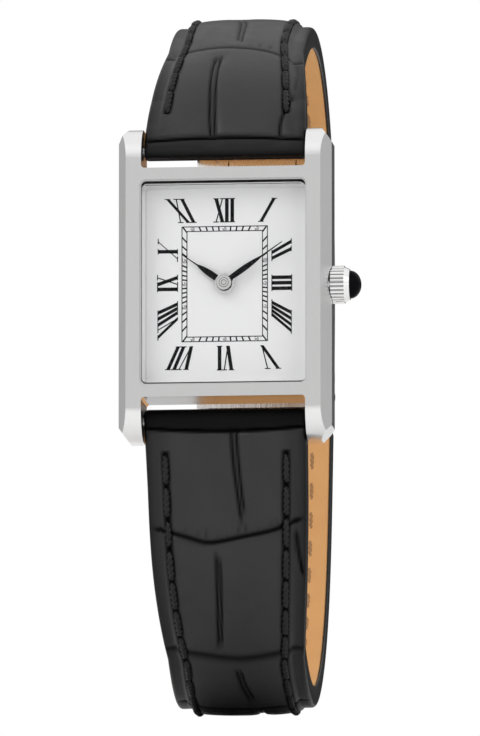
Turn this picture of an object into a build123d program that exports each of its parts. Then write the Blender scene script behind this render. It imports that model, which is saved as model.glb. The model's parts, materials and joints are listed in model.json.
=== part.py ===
from build123d import *
from math import cos, radians, sin
import os

os.makedirs("parts", exist_ok=True)

# The watch stands with its dial towards -Y, twelve o'clock towards +Z and the crown towards +X.
# The flat outer face of the case back lies at Y = 0, centred on the origin. All lengths are mm.

# Case
strap_space = 16.0
case_width = 20.8
case_thick = 6.2
body_length = 22.5
lug_reach = 4.1
front_flat_past_body = 1.05
lug_drop = 2.6
bevel_width = 0.9
bevel_depth = 2.3
lug_corner_width = 1.04
lug_corner_length = 1.4
lug_fillet = 0.35
lug_heel = 0.8
edge_break = 0.25
same_point = 0.01

# Crystal, its gasket and the sloping wall round the dial
crystal_side_wall = 2.25
crystal_end_wall = 1.15
crystal_thick = 1.0
crystal_sink = 0.05
crystal_corner = 0.65
crystal_bevel_width = 0.4
crystal_bevel_depth = 0.2
gasket_wall = 0.15
window_side_ledge = 0.55
window_end_ledge = 0.75
window_corner = 0.3
wall_slope = 0.25

# Room behind the crystal, from the front to the back
hand_space = 1.1
dial_thick = 0.35
plate_thick = 1.6
train_space = 0.65
bridge_thick = 0.35

# Room for the movement, case back and its gasket
room_side_wall = 2.35
room_end_wall = 1.2
room_corner = 0.5
fit_gap = 0.05
slide_gap = 0.02
back_thick = 0.6
back_step = 0.4
back_inset = 0.45
back_gasket_wall = 0.4
back_gasket_thick = 0.35
back_screw_from_side = 1.15
back_screw_from_end = 3.25
back_screw_shank = 0.3
back_screw_head = 0.5
back_screw_head_thick = 0.3
back_screw_length = 2.4
slot_width = 0.16
slot_depth = 0.12

# Crown, tube and stem
stem_above_plate = 0.6
crown_radius = 1.85
crown_length = 1.3
crown_collar_length = 0.5
crown_collar_radius = 1.5
crown_seat = 0.35
crown_room = 0.15
crown_gap = 0.23
crown_flutes = 28
flute_radius = 0.13
cabochon_radius = 1.375
cabochon_height = 1.1
cabochon_sunk = 0.25
stem_radius = 0.45
stem_reach = 6.9
tube_radius = 0.75
tube_bore = 0.5
tube_proud = 0.5
crown_bore = 0.95
crown_bore_depth = 0.85
crown_gasket_length = 0.2
crown_gasket_skin = 0.04

# Hands and their collets
minute_hand_length = 6.9
minute_hand_width = 0.52
hour_hand_length = 5.0
hour_hand_width = 0.6
hand_thick = 0.12
hand_root_width = 0.3
hand_tip_width = 0.07
hand_neck_width = 0.13
leaf_widest_share = 0.4
leaf_neck_share = 0.65
hour_eye = 0.8
minute_eye = 0.62
hour_collet_flange = 0.95
minute_collet_flange = 0.73
collet_flange_thick = 0.07
minute_cap_radius = 0.45
minute_cap_thick = 0.05
collet_wall = 0.05
hand_gap = 0.28
crystal_gap = 0.2

# Motion work under the dial, and the going train behind the plate
motion_module = 0.08
cannon_teeth = 10
minute_wheel_teeth = 30
minute_pinion_teeth = 8
hour_wheel_teeth = 32
train_module = 0.07
centre_wheel_teeth = 72
intermediate_pinion_teeth = 8
rotor_module = 0.06
intermediate_wheel_teeth = 54
rotor_pinion_teeth = 12
mesh_gap = 0.02
tooth_depth = 0.09
tooth_root_share = 0.3
tooth_tip_share = 0.15
wheel_thick = 0.15
pinion_thick = 0.19
motion_room_radius = 3.1
motion_room_depth = 0.5
arbor_radius = 0.15
pivot_radius = 0.12
cannon_pipe = 0.27
hour_pipe_bore = 0.3
hour_pipe = 0.55
intermediate_angle = 120
rotor_angle = 135
minute_wheel_angle = 215
rotor_magnet_radius = 0.6
rotor_magnet_thick = 0.24

# Movement plate, bridge, battery, coil and circuit
holder_side_wall = 1.35
holder_end_wall = 1.05
bridge_left = 6.0
bridge_right = 3.8
bridge_low = 2.4
bridge_high = 5.2
bridge_post_radius = 0.6
bridge_post_left = 5.3
bridge_post_right = 3.1
bridge_post_low = 1.6
bridge_post_high = 4.4
bridge_post_high_x = 2.4
bridge_screw_shank = 0.25
bridge_screw_head = 0.42
bridge_screw_head_thick = 0.18
bridge_screw_reach = 0.6
battery_radius = 2.9
battery_thick = 1.6
battery_rim = 0.25
battery_step = 0.2
battery_sunk = 0.85
battery_clear = 0.15
clamp_width = 1.4
clamp_thick = 0.15
clamp_foot = 0.9
clamp_span = 8.0
coil_radius = 0.72
coil_length = 7.6
coil_flange_radius = 0.82
coil_flange_thick = 0.3
coil_height = 7.0
coil_sunk = 0.05
coil_room = 0.1
stator_width = 3.6
stator_low = 0.85
stator_high = 2.2
stator_thick = 0.3
stator_bore = 0.8
circuit_width = 2.2
circuit_length = 4.0
circuit_thick = 0.4
circuit_x = 5.3
circuit_z = 3.8
chip_size = 1.1
chip_thick = 0.3

# Spring bars
bar_from_lug_tip = 2.05
bar_depth = 3.05
bar_tube_radius = 0.6
bar_tube_inset = 0.4
bar_tip_radius = 0.4
bar_tip_in_tube = 0.7
bar_tip_in_lug = 0.75
bar_tip_travel = 0.7
lug_hole_room = 0.15
bar_wall_gap = 0.02

# The strap: seen from the side it runs round a loop, from one spring bar to the other
loop_depth = 46.8
loop_top = 29.8
loop_drop = 39.4
strap_lean = 20
roll_radius = 1.2
padded_thick = 3.3
end_thick = 2.2
skin_thick = 0.9
lining_thick = 0.7
strap_side_gap = 0.1
strap_end_width = 13.4
taper_start_depth = 2.0
taper_end_depth = 12.5
padding_margin = 2.7
padding_start_depth = 4.4
padding_stop = 5.5
strap_bore_gap = 0.03
padding_rise_share = 0.11
strap_samples = 21

# Places on the outer surface of the strap, as shares of the loop's depth and of its height
upper_loop_shares = [
    (0.077, 0.602),
    (0.235, 0.834),
    (0.513, 1.0),
    (0.769, 0.920),
    (0.949, 0.623),
    (0.996, 0.277),
    (0.976, -0.145),
]
lower_loop_shares = [
    (0.060, 0.470),
    (0.111, 0.705),
    (0.267, 0.919),
    (0.524, 1.0),
    (0.758, 0.856),
    (0.880, 0.627),
    (0.938, 0.366),
    (0.968, 0.160),
]

# Folding clasp inside the rear of the strap
clasp_length = 24.0
clasp_gap = 0.2
cover_thick = 0.8
blade_gap = 0.15
base_thick = 0.7
cover_width = 13.0
base_width = 11.6
end_bar_radius = 0.5
end_bar_from_end = 1.3
ear_thick = 0.85
ear_radius = 1.0
ear_room = 0.12
notch_length = 2.7
block_gap = 0.15
block_length = 1.5
block_sunk = 0.05
root_length = 0.6
knuckle_radius = 1.0
knuckle_room = 0.15
hinge_pin_radius = 0.4
middle_knuckle_width = 6.6
hook_gap = 0.15
hook_wall = 0.6
hook_share = 0.5
pusher_radius = 0.45
pusher_length = 1.7
pusher_proud = 0.15
pusher_travel = 0.5
catch_width = 3.0
catch_length = 1.4
catch_height = 0.7
catch_from_end = 5.0
catch_room = 0.2


# Places worked out from those sizes
front = -case_thick
band_back = -back_thick
case_half = case_width / 2
flat_half = case_half - bevel_width
body_half = body_length / 2
lug_inner = strap_space / 2
lug_end = body_half + lug_reach
front_flat_end = body_half + front_flat_past_body
crystal_width = case_width - 2 * crystal_side_wall
crystal_length = body_length - 2 * crystal_end_wall
dial_window_width = crystal_width - 2 * window_side_ledge
dial_window_length = crystal_length - 2 * window_end_ledge
room_width = case_width - 2 * room_side_wall
room_length = body_length - 2 * room_end_wall
back_screw_span = body_length - 2 * back_screw_from_end
plate_width = room_width - 2 * holder_side_wall - 4 * fit_gap
plate_length = room_length - 2 * holder_end_wall - 4 * fit_gap
crystal_seat = front + crystal_sink + crystal_thick
dial_front = crystal_seat + hand_space
dial_back = dial_front + dial_thick
plate_back = dial_back + plate_thick
bridge_front = plate_back + train_space
bridge_back = bridge_front + bridge_thick
room_back = band_back - back_step
stem_y = plate_back - stem_above_plate
bar_y = front + bar_depth
bar_z = lug_end - bar_from_lug_tip
strap_half = strap_space / 2 - strap_side_gap
strap_end_half = strap_end_width / 2
reach = loop_depth + loop_drop


def facing(y):
    """The plane across the watch at this depth; an extrusion from it goes to the front."""
    return Plane.XZ.offset(-y)


def rounded_plate(width, length, y_back, thick, corner, centre=(0, 0)):
    """A flat plate with round corners, parallel to the dial."""
    with BuildPart() as plate:
        with BuildSketch(facing(y_back)):
            with Locations(centre):
                RectangleRounded(width, length, corner)
        extrude(amount=thick)
    return plate.part


def disc(y_back, thick, radius, centre=(0, 0), bore=0):
    """A round piece parallel to the dial, with a bore if one is given."""
    with BuildPart() as piece:
        with BuildSketch(facing(y_back)):
            with Locations(centre):
                Circle(radius)
                if bore:
                    Circle(bore, mode=Mode.SUBTRACT)
        extrude(amount=thick)
    return piece.part


def cross_rod(x_start, x_end, radius, y, z=0, bore=0):
    """A round piece that lies along X."""
    with BuildPart() as piece:
        with BuildSketch(Plane.YZ.offset(x_start)):
            with Locations((y, z)):
                Circle(radius)
                if bore:
                    Circle(bore, mode=Mode.SUBTRACT)
        extrude(amount=x_end - x_start)
    return piece.part


def toothed_wheel(teeth, module, y_back, thick, centre=(0, 0), bore=0):
    """A wheel whose teeth stop just inside the pitch circle, so that a pair turns freely."""
    tip = module * teeth / 2 - mesh_gap
    root = tip - tooth_depth
    step = 360 / teeth
    outline = []
    for tooth in range(teeth):
        for share, radius in (
            (-tooth_root_share, root),
            (-tooth_tip_share, tip),
            (tooth_tip_share, tip),
            (tooth_root_share, root),
        ):
            angle = radians((tooth + share) * step)
            outline.append((centre[0] + radius * cos(angle), centre[1] + radius * sin(angle)))
    with BuildPart() as wheel:
        with BuildSketch(facing(y_back)):
            with BuildLine():
                Polyline(*outline, close=True)
            make_face()
            if bore:
                with Locations(centre):
                    Circle(bore, mode=Mode.SUBTRACT)
        extrude(amount=thick)
    return wheel.part


def polar(distance, angle, start=(0, 0)):
    """The place at this distance and angle from another, across the watch."""
    turned = radians(angle)
    return (start[0] + distance * cos(turned), start[1] + distance * sin(turned))


# Case body
with BuildPart() as case_body:
    with BuildSketch(facing(band_back)) as outline:
        with BuildLine():
            Polyline(
                (0, 0),
                (case_half, 0),
                (case_half, lug_end - lug_corner_length),
                (case_half - lug_corner_width, lug_end),
                (lug_inner, lug_end),
                (lug_inner, body_half),
                (0, body_half),
                close=True,
            )
        make_face()
        mirror(about=Plane.YZ)
        mirror(about=Plane.XZ)
        corners = [
            corner
            for corner in outline.vertices()
            if abs(abs(corner.X) - lug_inner) < same_point and abs(abs(corner.Y) - body_half) < same_point
        ]
        fillet(corners, lug_fillet)
    extrude(amount=case_thick - back_thick)
    with BuildSketch(Plane.YZ):
        with BuildLine():
            Polyline(
                (front, front_flat_end),
                (front, 0),
                (band_back, 0),
                (band_back, lug_end - lug_heel),
                (band_back - lug_heel, lug_end),
                (front + lug_drop, lug_end),
            )
            TangentArc((front, front_flat_end), (front + lug_drop, lug_end), tangent=(0, 1))
        make_face()
        mirror(about=Plane.XZ)
    extrude(amount=case_width, both=True, mode=Mode.INTERSECT)
    with BuildSketch(Plane.XY):
        with BuildLine():
            Polyline(
                (0, front),
                (flat_half, front),
                (case_half, front + bevel_depth),
                (case_half, band_back - edge_break),
                (case_half - edge_break, band_back),
                (0, band_back),
                close=True,
            )
        make_face()
        mirror(about=Plane.YZ)
    extrude(amount=2 * lug_end, both=True, mode=Mode.INTERSECT)
    add(
        rounded_plate(crystal_width, crystal_length, crystal_seat, case_thick, crystal_corner),
        mode=Mode.SUBTRACT,
    )
    with BuildSketch(facing(dial_front)):
        RectangleRounded(dial_window_width, dial_window_length, window_corner)
    with BuildSketch(facing(crystal_seat)):
        RectangleRounded(
            dial_window_width + 2 * wall_slope, dial_window_length + 2 * wall_slope, window_corner
        )
    loft(mode=Mode.SUBTRACT)
    add(
        rounded_plate(room_width, room_length, 0, -dial_front, room_corner),
        mode=Mode.SUBTRACT,
    )
    add(
        rounded_plate(
            room_width + 2 * back_gasket_wall,
            room_length + 2 * back_gasket_wall,
            0,
            back_thick + back_gasket_thick,
            room_corner + back_gasket_wall,
        ),
        mode=Mode.SUBTRACT,
    )
    with BuildSketch(Plane.YZ.offset(case_half - crown_seat)):
        with Locations((stem_y, 0)):
            Circle(crown_radius + crown_room)
    extrude(amount=case_width, mode=Mode.SUBTRACT)
    with BuildSketch(Plane.YZ):
        with Locations((stem_y, 0)):
            Circle(tube_radius)
    extrude(amount=case_width, mode=Mode.SUBTRACT)
    with BuildSketch(Plane.YZ):
        with Locations((bar_y, bar_z), (bar_y, -bar_z)):
            Circle(bar_tip_radius + bar_wall_gap)
    extrude(amount=lug_inner + bar_tip_in_lug + lug_hole_room, both=True, mode=Mode.SUBTRACT)
    with BuildSketch(facing(0)):
        with GridLocations(case_width - 2 * back_screw_from_side, back_screw_span, 2, 2):
            Circle(back_screw_shank + slide_gap)
    extrude(amount=back_screw_length, mode=Mode.SUBTRACT)

# Crystal and the gasket that holds it
with BuildPart() as crystal:
    add(
        rounded_plate(
            crystal_width - 2 * gasket_wall,
            crystal_length - 2 * gasket_wall,
            crystal_seat,
            crystal_thick,
            crystal_corner - gasket_wall,
        )
    )
    rim = crystal.faces().sort_by(Axis.Y)[0].edges()
    chamfer(rim, crystal_bevel_depth, crystal_bevel_width)

with BuildPart() as crystal_gasket:
    with BuildSketch(facing(crystal_seat)):
        RectangleRounded(crystal_width, crystal_length, crystal_corner)
        RectangleRounded(
            crystal_width - 2 * gasket_wall,
            crystal_length - 2 * gasket_wall,
            crystal_corner - gasket_wall,
            mode=Mode.SUBTRACT,
        )
    extrude(amount=crystal_thick - crystal_bevel_depth)

# Case back, its gasket and screws
with BuildPart() as case_back:
    add(
        rounded_plate(
            case_width - 2 * back_inset,
            body_length - 2 * back_inset,
            0,
            back_thick,
            room_corner,
        )
    )
    chamfer(case_back.faces().sort_by(Axis.Y)[-1].edges(), edge_break)
    add(
        rounded_plate(
            room_width - 2 * fit_gap, room_length - 2 * fit_gap, band_back, back_step, room_corner
        )
    )
    with BuildSketch(facing(0)):
        with GridLocations(case_width - 2 * back_screw_from_side, back_screw_span, 2, 2):
            Circle(back_screw_shank + slide_gap)
    extrude(amount=back_thick, mode=Mode.SUBTRACT)
    with BuildSketch(facing(0)):
        with GridLocations(case_width - 2 * back_screw_from_side, back_screw_span, 2, 2):
            Circle(back_screw_head + slide_gap)
    extrude(amount=back_screw_head_thick, mode=Mode.SUBTRACT)

with BuildPart() as case_back_gasket:
    with BuildSketch(facing(band_back)):
        RectangleRounded(
            room_width + 2 * back_gasket_wall,
            room_length + 2 * back_gasket_wall,
            room_corner + back_gasket_wall,
        )
        RectangleRounded(room_width, room_length, room_corner, mode=Mode.SUBTRACT)
    extrude(amount=back_gasket_thick)

with BuildPart() as case_back_screws:
    with BuildSketch(facing(-back_screw_head_thick)):
        with GridLocations(case_width - 2 * back_screw_from_side, back_screw_span, 2, 2):
            Circle(back_screw_shank)
    extrude(amount=back_screw_length - back_screw_head_thick - slide_gap)
    with BuildSketch(facing(0)):
        with GridLocations(case_width - 2 * back_screw_from_side, back_screw_span, 2, 2):
            Circle(back_screw_head)
    extrude(amount=back_screw_head_thick)
    with BuildSketch(facing(0)):
        with GridLocations(case_width - 2 * back_screw_from_side, back_screw_span, 2, 2):
            Rectangle(2 * back_screw_head, slot_width)
    extrude(amount=slot_depth, mode=Mode.SUBTRACT)

# Dial
with BuildPart() as dial:
    add(
        rounded_plate(
            room_width - 2 * fit_gap,
            room_length - 2 * fit_gap,
            dial_back,
            dial_thick,
            room_corner - fit_gap,
        )
    )
    add(disc(dial_back, dial_thick, hour_pipe + fit_gap), mode=Mode.SUBTRACT)

# Places of the wheels
minute_wheel_place = polar(motion_module * (cannon_teeth + minute_wheel_teeth) / 2, minute_wheel_angle)
intermediate_place = polar(
    train_module * (centre_wheel_teeth + intermediate_pinion_teeth) / 2, intermediate_angle
)
rotor_place = polar(
    rotor_module * (intermediate_wheel_teeth + rotor_pinion_teeth) / 2, rotor_angle, intermediate_place
)
battery_place = (0, -(train_module * centre_wheel_teeth / 2 + battery_radius + battery_clear))
battery_front = plate_back - battery_sunk
coil_y = plate_back + coil_sunk
bridge_posts = [
    (-bridge_post_left, -bridge_post_low),
    (bridge_post_right, -bridge_post_low),
    (bridge_post_high_x, bridge_post_high),
]

# Wheels of the motion work, from the plate towards the dial
motion_floor = dial_back + motion_room_depth
lower_leaf = motion_floor - mesh_gap - fit_gap
upper_leaf = lower_leaf - pinion_thick - mesh_gap

with BuildPart() as main_plate:
    add(
        rounded_plate(
            plate_width, plate_length, plate_back, plate_thick, room_corner
        )
    )
    add(disc(motion_floor, motion_room_depth, motion_room_radius), mode=Mode.SUBTRACT)
    add(disc(plate_back, plate_thick, arbor_radius + slide_gap), mode=Mode.SUBTRACT)
    add(disc(plate_back, battery_sunk, battery_radius + fit_gap, battery_place), mode=Mode.SUBTRACT)
    with BuildSketch(facing(plate_back)):
        with Locations((0, coil_height)):
            Rectangle(coil_length + 2 * coil_room, 2 * (coil_flange_radius + coil_room))
    extrude(amount=coil_flange_radius - coil_sunk + coil_room, mode=Mode.SUBTRACT)
    for place in (intermediate_place, rotor_place):
        add(disc(plate_back, train_space / 2, pivot_radius + slide_gap, place), mode=Mode.SUBTRACT)
    add(
        cross_rod(case_half - stem_reach - fit_gap, plate_width, stem_radius + fit_gap, stem_y),
        mode=Mode.SUBTRACT,
    )
    for place in bridge_posts:
        add(
            disc(plate_back, bridge_screw_reach, bridge_screw_shank + slide_gap, place),
            mode=Mode.SUBTRACT,
        )
    add(
        disc(motion_floor + train_space / 2, train_space / 2, pivot_radius, minute_wheel_place),
        mode=Mode.SUBTRACT,
    )

with BuildPart() as movement_holder:
    with BuildSketch(facing(room_back)):
        RectangleRounded(room_width - 2 * fit_gap, room_length - 2 * fit_gap, room_corner - fit_gap)
        RectangleRounded(
            plate_width + 2 * fit_gap, plate_length + 2 * fit_gap, room_corner, mode=Mode.SUBTRACT
        )
    extrude(amount=room_back - dial_back)
    add(cross_rod(0, room_width, stem_radius + fit_gap, stem_y), mode=Mode.SUBTRACT)

with BuildPart() as train_bridge:
    with BuildSketch(facing(bridge_back)):
        with Locations(((bridge_right - bridge_left) / 2, (bridge_high - bridge_low) / 2)):
            RectangleRounded(bridge_left + bridge_right, bridge_low + bridge_high, room_corner)
    extrude(amount=bridge_thick)
    for place in bridge_posts:
        add(disc(bridge_front, train_space, bridge_post_radius, place))
    for place in bridge_posts:
        add(
            disc(bridge_back, bridge_thick + train_space, bridge_screw_shank + slide_gap, place),
            mode=Mode.SUBTRACT,
        )
        add(
            disc(bridge_back, bridge_screw_head_thick, bridge_screw_head + slide_gap, place),
            mode=Mode.SUBTRACT,
        )
    for place in ((0, 0), intermediate_place, rotor_place):
        add(disc(bridge_back, bridge_thick, pivot_radius + slide_gap, place), mode=Mode.SUBTRACT)

with BuildPart() as bridge_screws:
    for place in bridge_posts:
        add(disc(bridge_back, bridge_screw_head_thick, bridge_screw_head, place))
        add(
            disc(
                bridge_back - bridge_screw_head_thick,
                bridge_thick + train_space + bridge_screw_reach - bridge_screw_head_thick - slide_gap,
                bridge_screw_shank,
                place,
            )
        )
    with BuildSketch(facing(bridge_back)):
        with Locations(*bridge_posts):
            Rectangle(2 * bridge_screw_head, slot_width)
    extrude(amount=slot_depth, mode=Mode.SUBTRACT)

# Going train: the rotor drives the intermediate wheel, and that drives the centre wheel
centre_level = plate_back + fit_gap + pinion_thick
intermediate_level = centre_level + mesh_gap + pinion_thick

with BuildPart() as centre_wheel:
    add(
        toothed_wheel(centre_wheel_teeth, train_module, centre_level - mesh_gap, wheel_thick)
    )
    add(
        disc(
            centre_level - mesh_gap,
            centre_level - mesh_gap - (front + crystal_sink + crystal_thick + crystal_gap + hand_thick),
            arbor_radius,
        )
    )
    add(disc(bridge_back - bridge_thick / 2, bridge_back - centre_level, pivot_radius))

with BuildPart() as intermediate_wheel:
    add(
        toothed_wheel(
            intermediate_pinion_teeth,
            train_module,
            centre_level,
            pinion_thick,
            intermediate_place,
        )
    )
    add(
        toothed_wheel(
            intermediate_wheel_teeth,
            rotor_module,
            intermediate_level,
            wheel_thick,
            intermediate_place,
        )
    )
    add(
        disc(
            bridge_back - bridge_thick / 2,
            bridge_back - plate_back,
            pivot_radius,
            intermediate_place,
        )
    )

with BuildPart() as rotor:
    add(
        disc(
            plate_back + fit_gap + rotor_magnet_thick,
            rotor_magnet_thick,
            rotor_magnet_radius,
            rotor_place,
        )
    )
    add(disc(bridge_back - bridge_thick / 2, bridge_back - plate_back, pivot_radius, rotor_place))
    add(
        toothed_wheel(
            rotor_pinion_teeth,
            rotor_module,
            intermediate_level + mesh_gap,
            pinion_thick,
            rotor_place,
        )
    )

# Stator, coil, circuit and battery
with BuildPart() as stator:
    with BuildSketch(facing(plate_back + stator_thick)):
        with Locations((rotor_place[0], rotor_place[1] + (stator_high - stator_low) / 2)):
            RectangleRounded(stator_width, stator_high + stator_low, stator_thick)
        with Locations(rotor_place):
            Circle(stator_bore, mode=Mode.SUBTRACT)
    extrude(amount=stator_thick)

with BuildPart() as coil:
    add(cross_rod(-coil_length / 2, coil_length / 2, coil_radius, coil_y, coil_height))
    for side in (-1, 1):
        end = side * (coil_length - coil_flange_thick) / 2
        add(
            cross_rod(
                end - coil_flange_thick / 2,
                end + coil_flange_thick / 2,
                coil_flange_radius,
                coil_y,
                coil_height,
            )
        )

with BuildPart() as circuit_block:
    add(
        rounded_plate(
            circuit_width,
            circuit_length,
            plate_back + circuit_thick,
            circuit_thick,
            slot_width,
            (circuit_x, circuit_z),
        )
    )
    add(
        rounded_plate(
            chip_size,
            chip_size,
            plate_back + circuit_thick + chip_thick,
            chip_thick,
            slot_width / 2,
            (circuit_x, circuit_z),
        )
    )

with BuildPart() as battery:
    add(disc(battery_front + battery_thick, battery_thick - battery_step, battery_radius, battery_place))
    add(disc(battery_front + battery_step, battery_step, battery_radius - battery_rim, battery_place))

battery_back = battery_front + battery_thick
with BuildPart() as battery_clamp:
    with BuildSketch(facing(battery_back + clamp_thick)):
        with Locations(battery_place):
            RectangleRounded(clamp_span + clamp_foot, clamp_width, clamp_foot / 3)
    extrude(amount=clamp_thick)
    with BuildSketch(facing(battery_back)):
        with Locations(
            (-clamp_span / 2, battery_place[1]),
            (clamp_span / 2, battery_place[1]),
        ):
            Circle(clamp_foot / 2)
    extrude(amount=battery_back - plate_back)

# Motion work: the cannon pinion carries the minute hand, the hour wheel carries the hour hand
hour_hand_back = dial_front - hand_gap - collet_flange_thick
minute_hand_back = crystal_seat + crystal_gap + hand_thick

with BuildPart() as cannon_pinion:
    add(toothed_wheel(cannon_teeth, motion_module, lower_leaf, pinion_thick, bore=arbor_radius))
    add(disc(lower_leaf, lower_leaf - minute_hand_back + hand_thick, cannon_pipe, bore=arbor_radius))

with BuildPart() as minute_wheel:
    add(
        toothed_wheel(
            minute_wheel_teeth,
            motion_module,
            lower_leaf - mesh_gap,
            wheel_thick,
            minute_wheel_place,
        )
    )
    add(
        toothed_wheel(
            minute_pinion_teeth,
            motion_module,
            lower_leaf - mesh_gap - wheel_thick,
            motion_room_depth - wheel_thick - 2 * mesh_gap - fit_gap - slide_gap,
            minute_wheel_place,
        )
    )
    add(
        disc(
            motion_floor + train_space / 3,
            train_space / 3 + motion_room_depth - slide_gap,
            pivot_radius - slide_gap / 2,
            minute_wheel_place,
        )
    )
    add(disc(lower_leaf - mesh_gap, wheel_thick, pivot_radius + tooth_depth / 2, minute_wheel_place))

with BuildPart() as hour_wheel:
    add(
        toothed_wheel(
            hour_wheel_teeth, motion_module, upper_leaf, wheel_thick, bore=hour_pipe_bore
        )
    )
    add(disc(upper_leaf, upper_leaf - hour_hand_back + hand_thick, hour_pipe, bore=hour_pipe_bore))


def leaf_hand(y_back, length, width, eye, hole):
    """A leaf that narrows to a needle, with a round eye at the hub."""
    with BuildPart() as hand:
        with BuildSketch(facing(y_back)):
            with BuildLine():
                Spline(
                    (hand_root_width / 2, 0),
                    (width / 2, leaf_widest_share * length),
                    (hand_neck_width / 2, leaf_neck_share * length),
                )
                Polyline(
                    (hand_neck_width / 2, leaf_neck_share * length),
                    (hand_tip_width / 2, length),
                    (-hand_tip_width / 2, length),
                    (-hand_neck_width / 2, leaf_neck_share * length),
                )
                Spline(
                    (-hand_neck_width / 2, leaf_neck_share * length),
                    (-width / 2, leaf_widest_share * length),
                    (-hand_root_width / 2, 0),
                )
                Line((-hand_root_width / 2, 0), (hand_root_width / 2, 0))
            make_face()
            Circle(eye)
            Circle(hole, mode=Mode.SUBTRACT)
        extrude(amount=hand_thick)
    return hand.part


# The photograph shows nine minutes past ten, so each hand is turned from twelve to its place
shown_minutes = 9.2
minutes_past_noon = 10 * 60 + shown_minutes
minute_angle = 6 * shown_minutes
hour_angle = minutes_past_noon / 2
dial_axis = Axis((0, 0, 0), (0, 1, 0))

with BuildPart() as hour_hand:
    add(
        leaf_hand(
            hour_hand_back, hour_hand_length, hour_hand_width, hour_eye, hour_pipe + collet_wall
        ).rotate(dial_axis, hour_angle)
    )

with BuildPart() as minute_hand:
    add(
        leaf_hand(
            minute_hand_back,
            minute_hand_length,
            minute_hand_width,
            minute_eye,
            cannon_pipe + collet_wall,
        ).rotate(dial_axis, minute_angle)
    )

with BuildPart() as hour_hand_collet:
    add(disc(hour_hand_back, hand_thick, hour_pipe + collet_wall, bore=hour_pipe))
    add(
        disc(hour_hand_back - hand_thick, collet_flange_thick, hour_collet_flange, bore=hour_pipe_bore)
    )
    chamfer(hour_hand_collet.faces().sort_by(Axis.Y)[0].outer_wire().edges(), collet_flange_thick / 2)

with BuildPart() as minute_hand_collet:
    add(disc(minute_hand_back, hand_thick, cannon_pipe + collet_wall, bore=cannon_pipe))
    add(disc(minute_hand_back - hand_thick, collet_flange_thick, minute_collet_flange))
    chamfer(minute_hand_collet.faces().sort_by(Axis.Y)[0].edges(), collet_flange_thick / 2)
    add(disc(minute_hand_back - hand_thick - collet_flange_thick, minute_cap_thick, minute_cap_radius))
    chamfer(minute_hand_collet.faces().sort_by(Axis.Y)[0].edges(), minute_cap_thick / 2)

# Crown, its cabochon, gasket, tube and the stem
crown_start = case_half - crown_seat + crown_gap
crown_end = crown_start + crown_length + crown_collar_length
stem_axis = Axis((0, stem_y, 0), (1, 0, 0))

with BuildPart() as crown_tube:
    add(
        cross_rod(
            room_width / 2, case_half - crown_seat + tube_proud, tube_radius, stem_y, bore=tube_bore
        )
    )

with BuildPart() as crown:
    with BuildSketch(Plane.YZ.offset(crown_start)):
        with Locations((stem_y, 0)):
            Circle(crown_radius)
            with PolarLocations(crown_radius + flute_radius / 3, crown_flutes):
                Circle(flute_radius, mode=Mode.SUBTRACT)
    extrude(amount=crown_length)
    with BuildSketch(Plane.YZ.offset(crown_start + crown_length)):
        with Locations((stem_y, 0)):
            Circle(crown_radius - flute_radius)
    with BuildSketch(Plane.YZ.offset(crown_end)):
        with Locations((stem_y, 0)):
            Circle(crown_collar_radius)
    loft()
    add(
        cross_rod(crown_start, crown_start + crown_bore_depth, crown_bore, stem_y),
        mode=Mode.SUBTRACT,
    )
    add(
        cross_rod(crown_end - cabochon_sunk, crown_end, cabochon_radius, stem_y),
        mode=Mode.SUBTRACT,
    )
    add(
        cross_rod(crown_start, crown_end - 2 * cabochon_sunk, stem_radius, stem_y),
        mode=Mode.SUBTRACT,
    )

with BuildPart() as crown_cabochon:
    with BuildSketch(Plane.XY):
        with BuildLine():
            Polyline(
                (crown_end, stem_y + cabochon_radius),
                (crown_end - cabochon_sunk, stem_y + cabochon_radius),
                (crown_end - cabochon_sunk, stem_y),
                (crown_end + cabochon_height, stem_y),
            )
            EllipticalCenterArc(
                (crown_end, stem_y), cabochon_height, cabochon_radius, start_angle=0, arc_size=90
            )
        make_face()
    revolve(axis=stem_axis)

with BuildPart() as stem:
    add(cross_rod(case_half - stem_reach, crown_end - 2 * cabochon_sunk, stem_radius, stem_y))

with BuildPart() as crown_gasket:
    gasket_end = crown_start + crown_bore_depth - fit_gap
    add(
        cross_rod(
            gasket_end - crown_gasket_length,
            gasket_end,
            crown_bore - crown_gasket_skin,
            stem_y,
            bore=stem_radius + crown_gasket_skin,
        )
    )


# Spring bars
def spring_bar(z):
    """The hollow tube of a spring bar, between the lugs."""
    half = lug_inner - bar_tube_inset
    with BuildPart() as bar:
        add(cross_rod(-half, half, bar_tube_radius, bar_y, z))
        for side in (-1, 1):
            deep = half - bar_tip_in_tube - bar_tip_travel - fit_gap
            ends = sorted((side * deep, side * half))
            add(
                cross_rod(*ends, bar_tip_radius + bar_wall_gap, bar_y, z),
                mode=Mode.SUBTRACT,
            )
    return bar.part


def bar_tip(side, z):
    """One end of a spring bar: it slides in the tube and stands in the hole of the lug."""
    inner = lug_inner - bar_tube_inset - bar_tip_in_tube
    outer = lug_inner + bar_tip_in_lug
    ends = sorted((side * inner, side * outer))
    with BuildPart() as tip:
        add(cross_rod(*ends, bar_tip_radius, bar_y, z))
        end_face = tip.faces().sort_by(Axis.X)[-1 if side > 0 else 0]
        chamfer(end_face.edges(), bar_tip_radius / 3)
    return tip.part


# Strap
def loop_path(shares, height, side):
    """The line of the strap's outer surface, from a spring bar to the clasp."""
    lean = radians(strap_lean)
    start = (0, bar_y - roll_radius * cos(lean), side * (bar_z + roll_radius * sin(lean)))
    places = [(0, front + across * loop_depth, side * up * height) for across, up in shares]
    return Spline(start, *places)


def under(path, side, share, depth, ahead=0):
    """The place this deep under the outer surface, and this far ahead along the strap."""
    place = path @ share
    run = path % share
    inward = Vector(0, side * run.Z, -side * run.Y)
    spot = place + inward * depth + run * ahead
    return (spot.Y, spot.Z)


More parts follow.
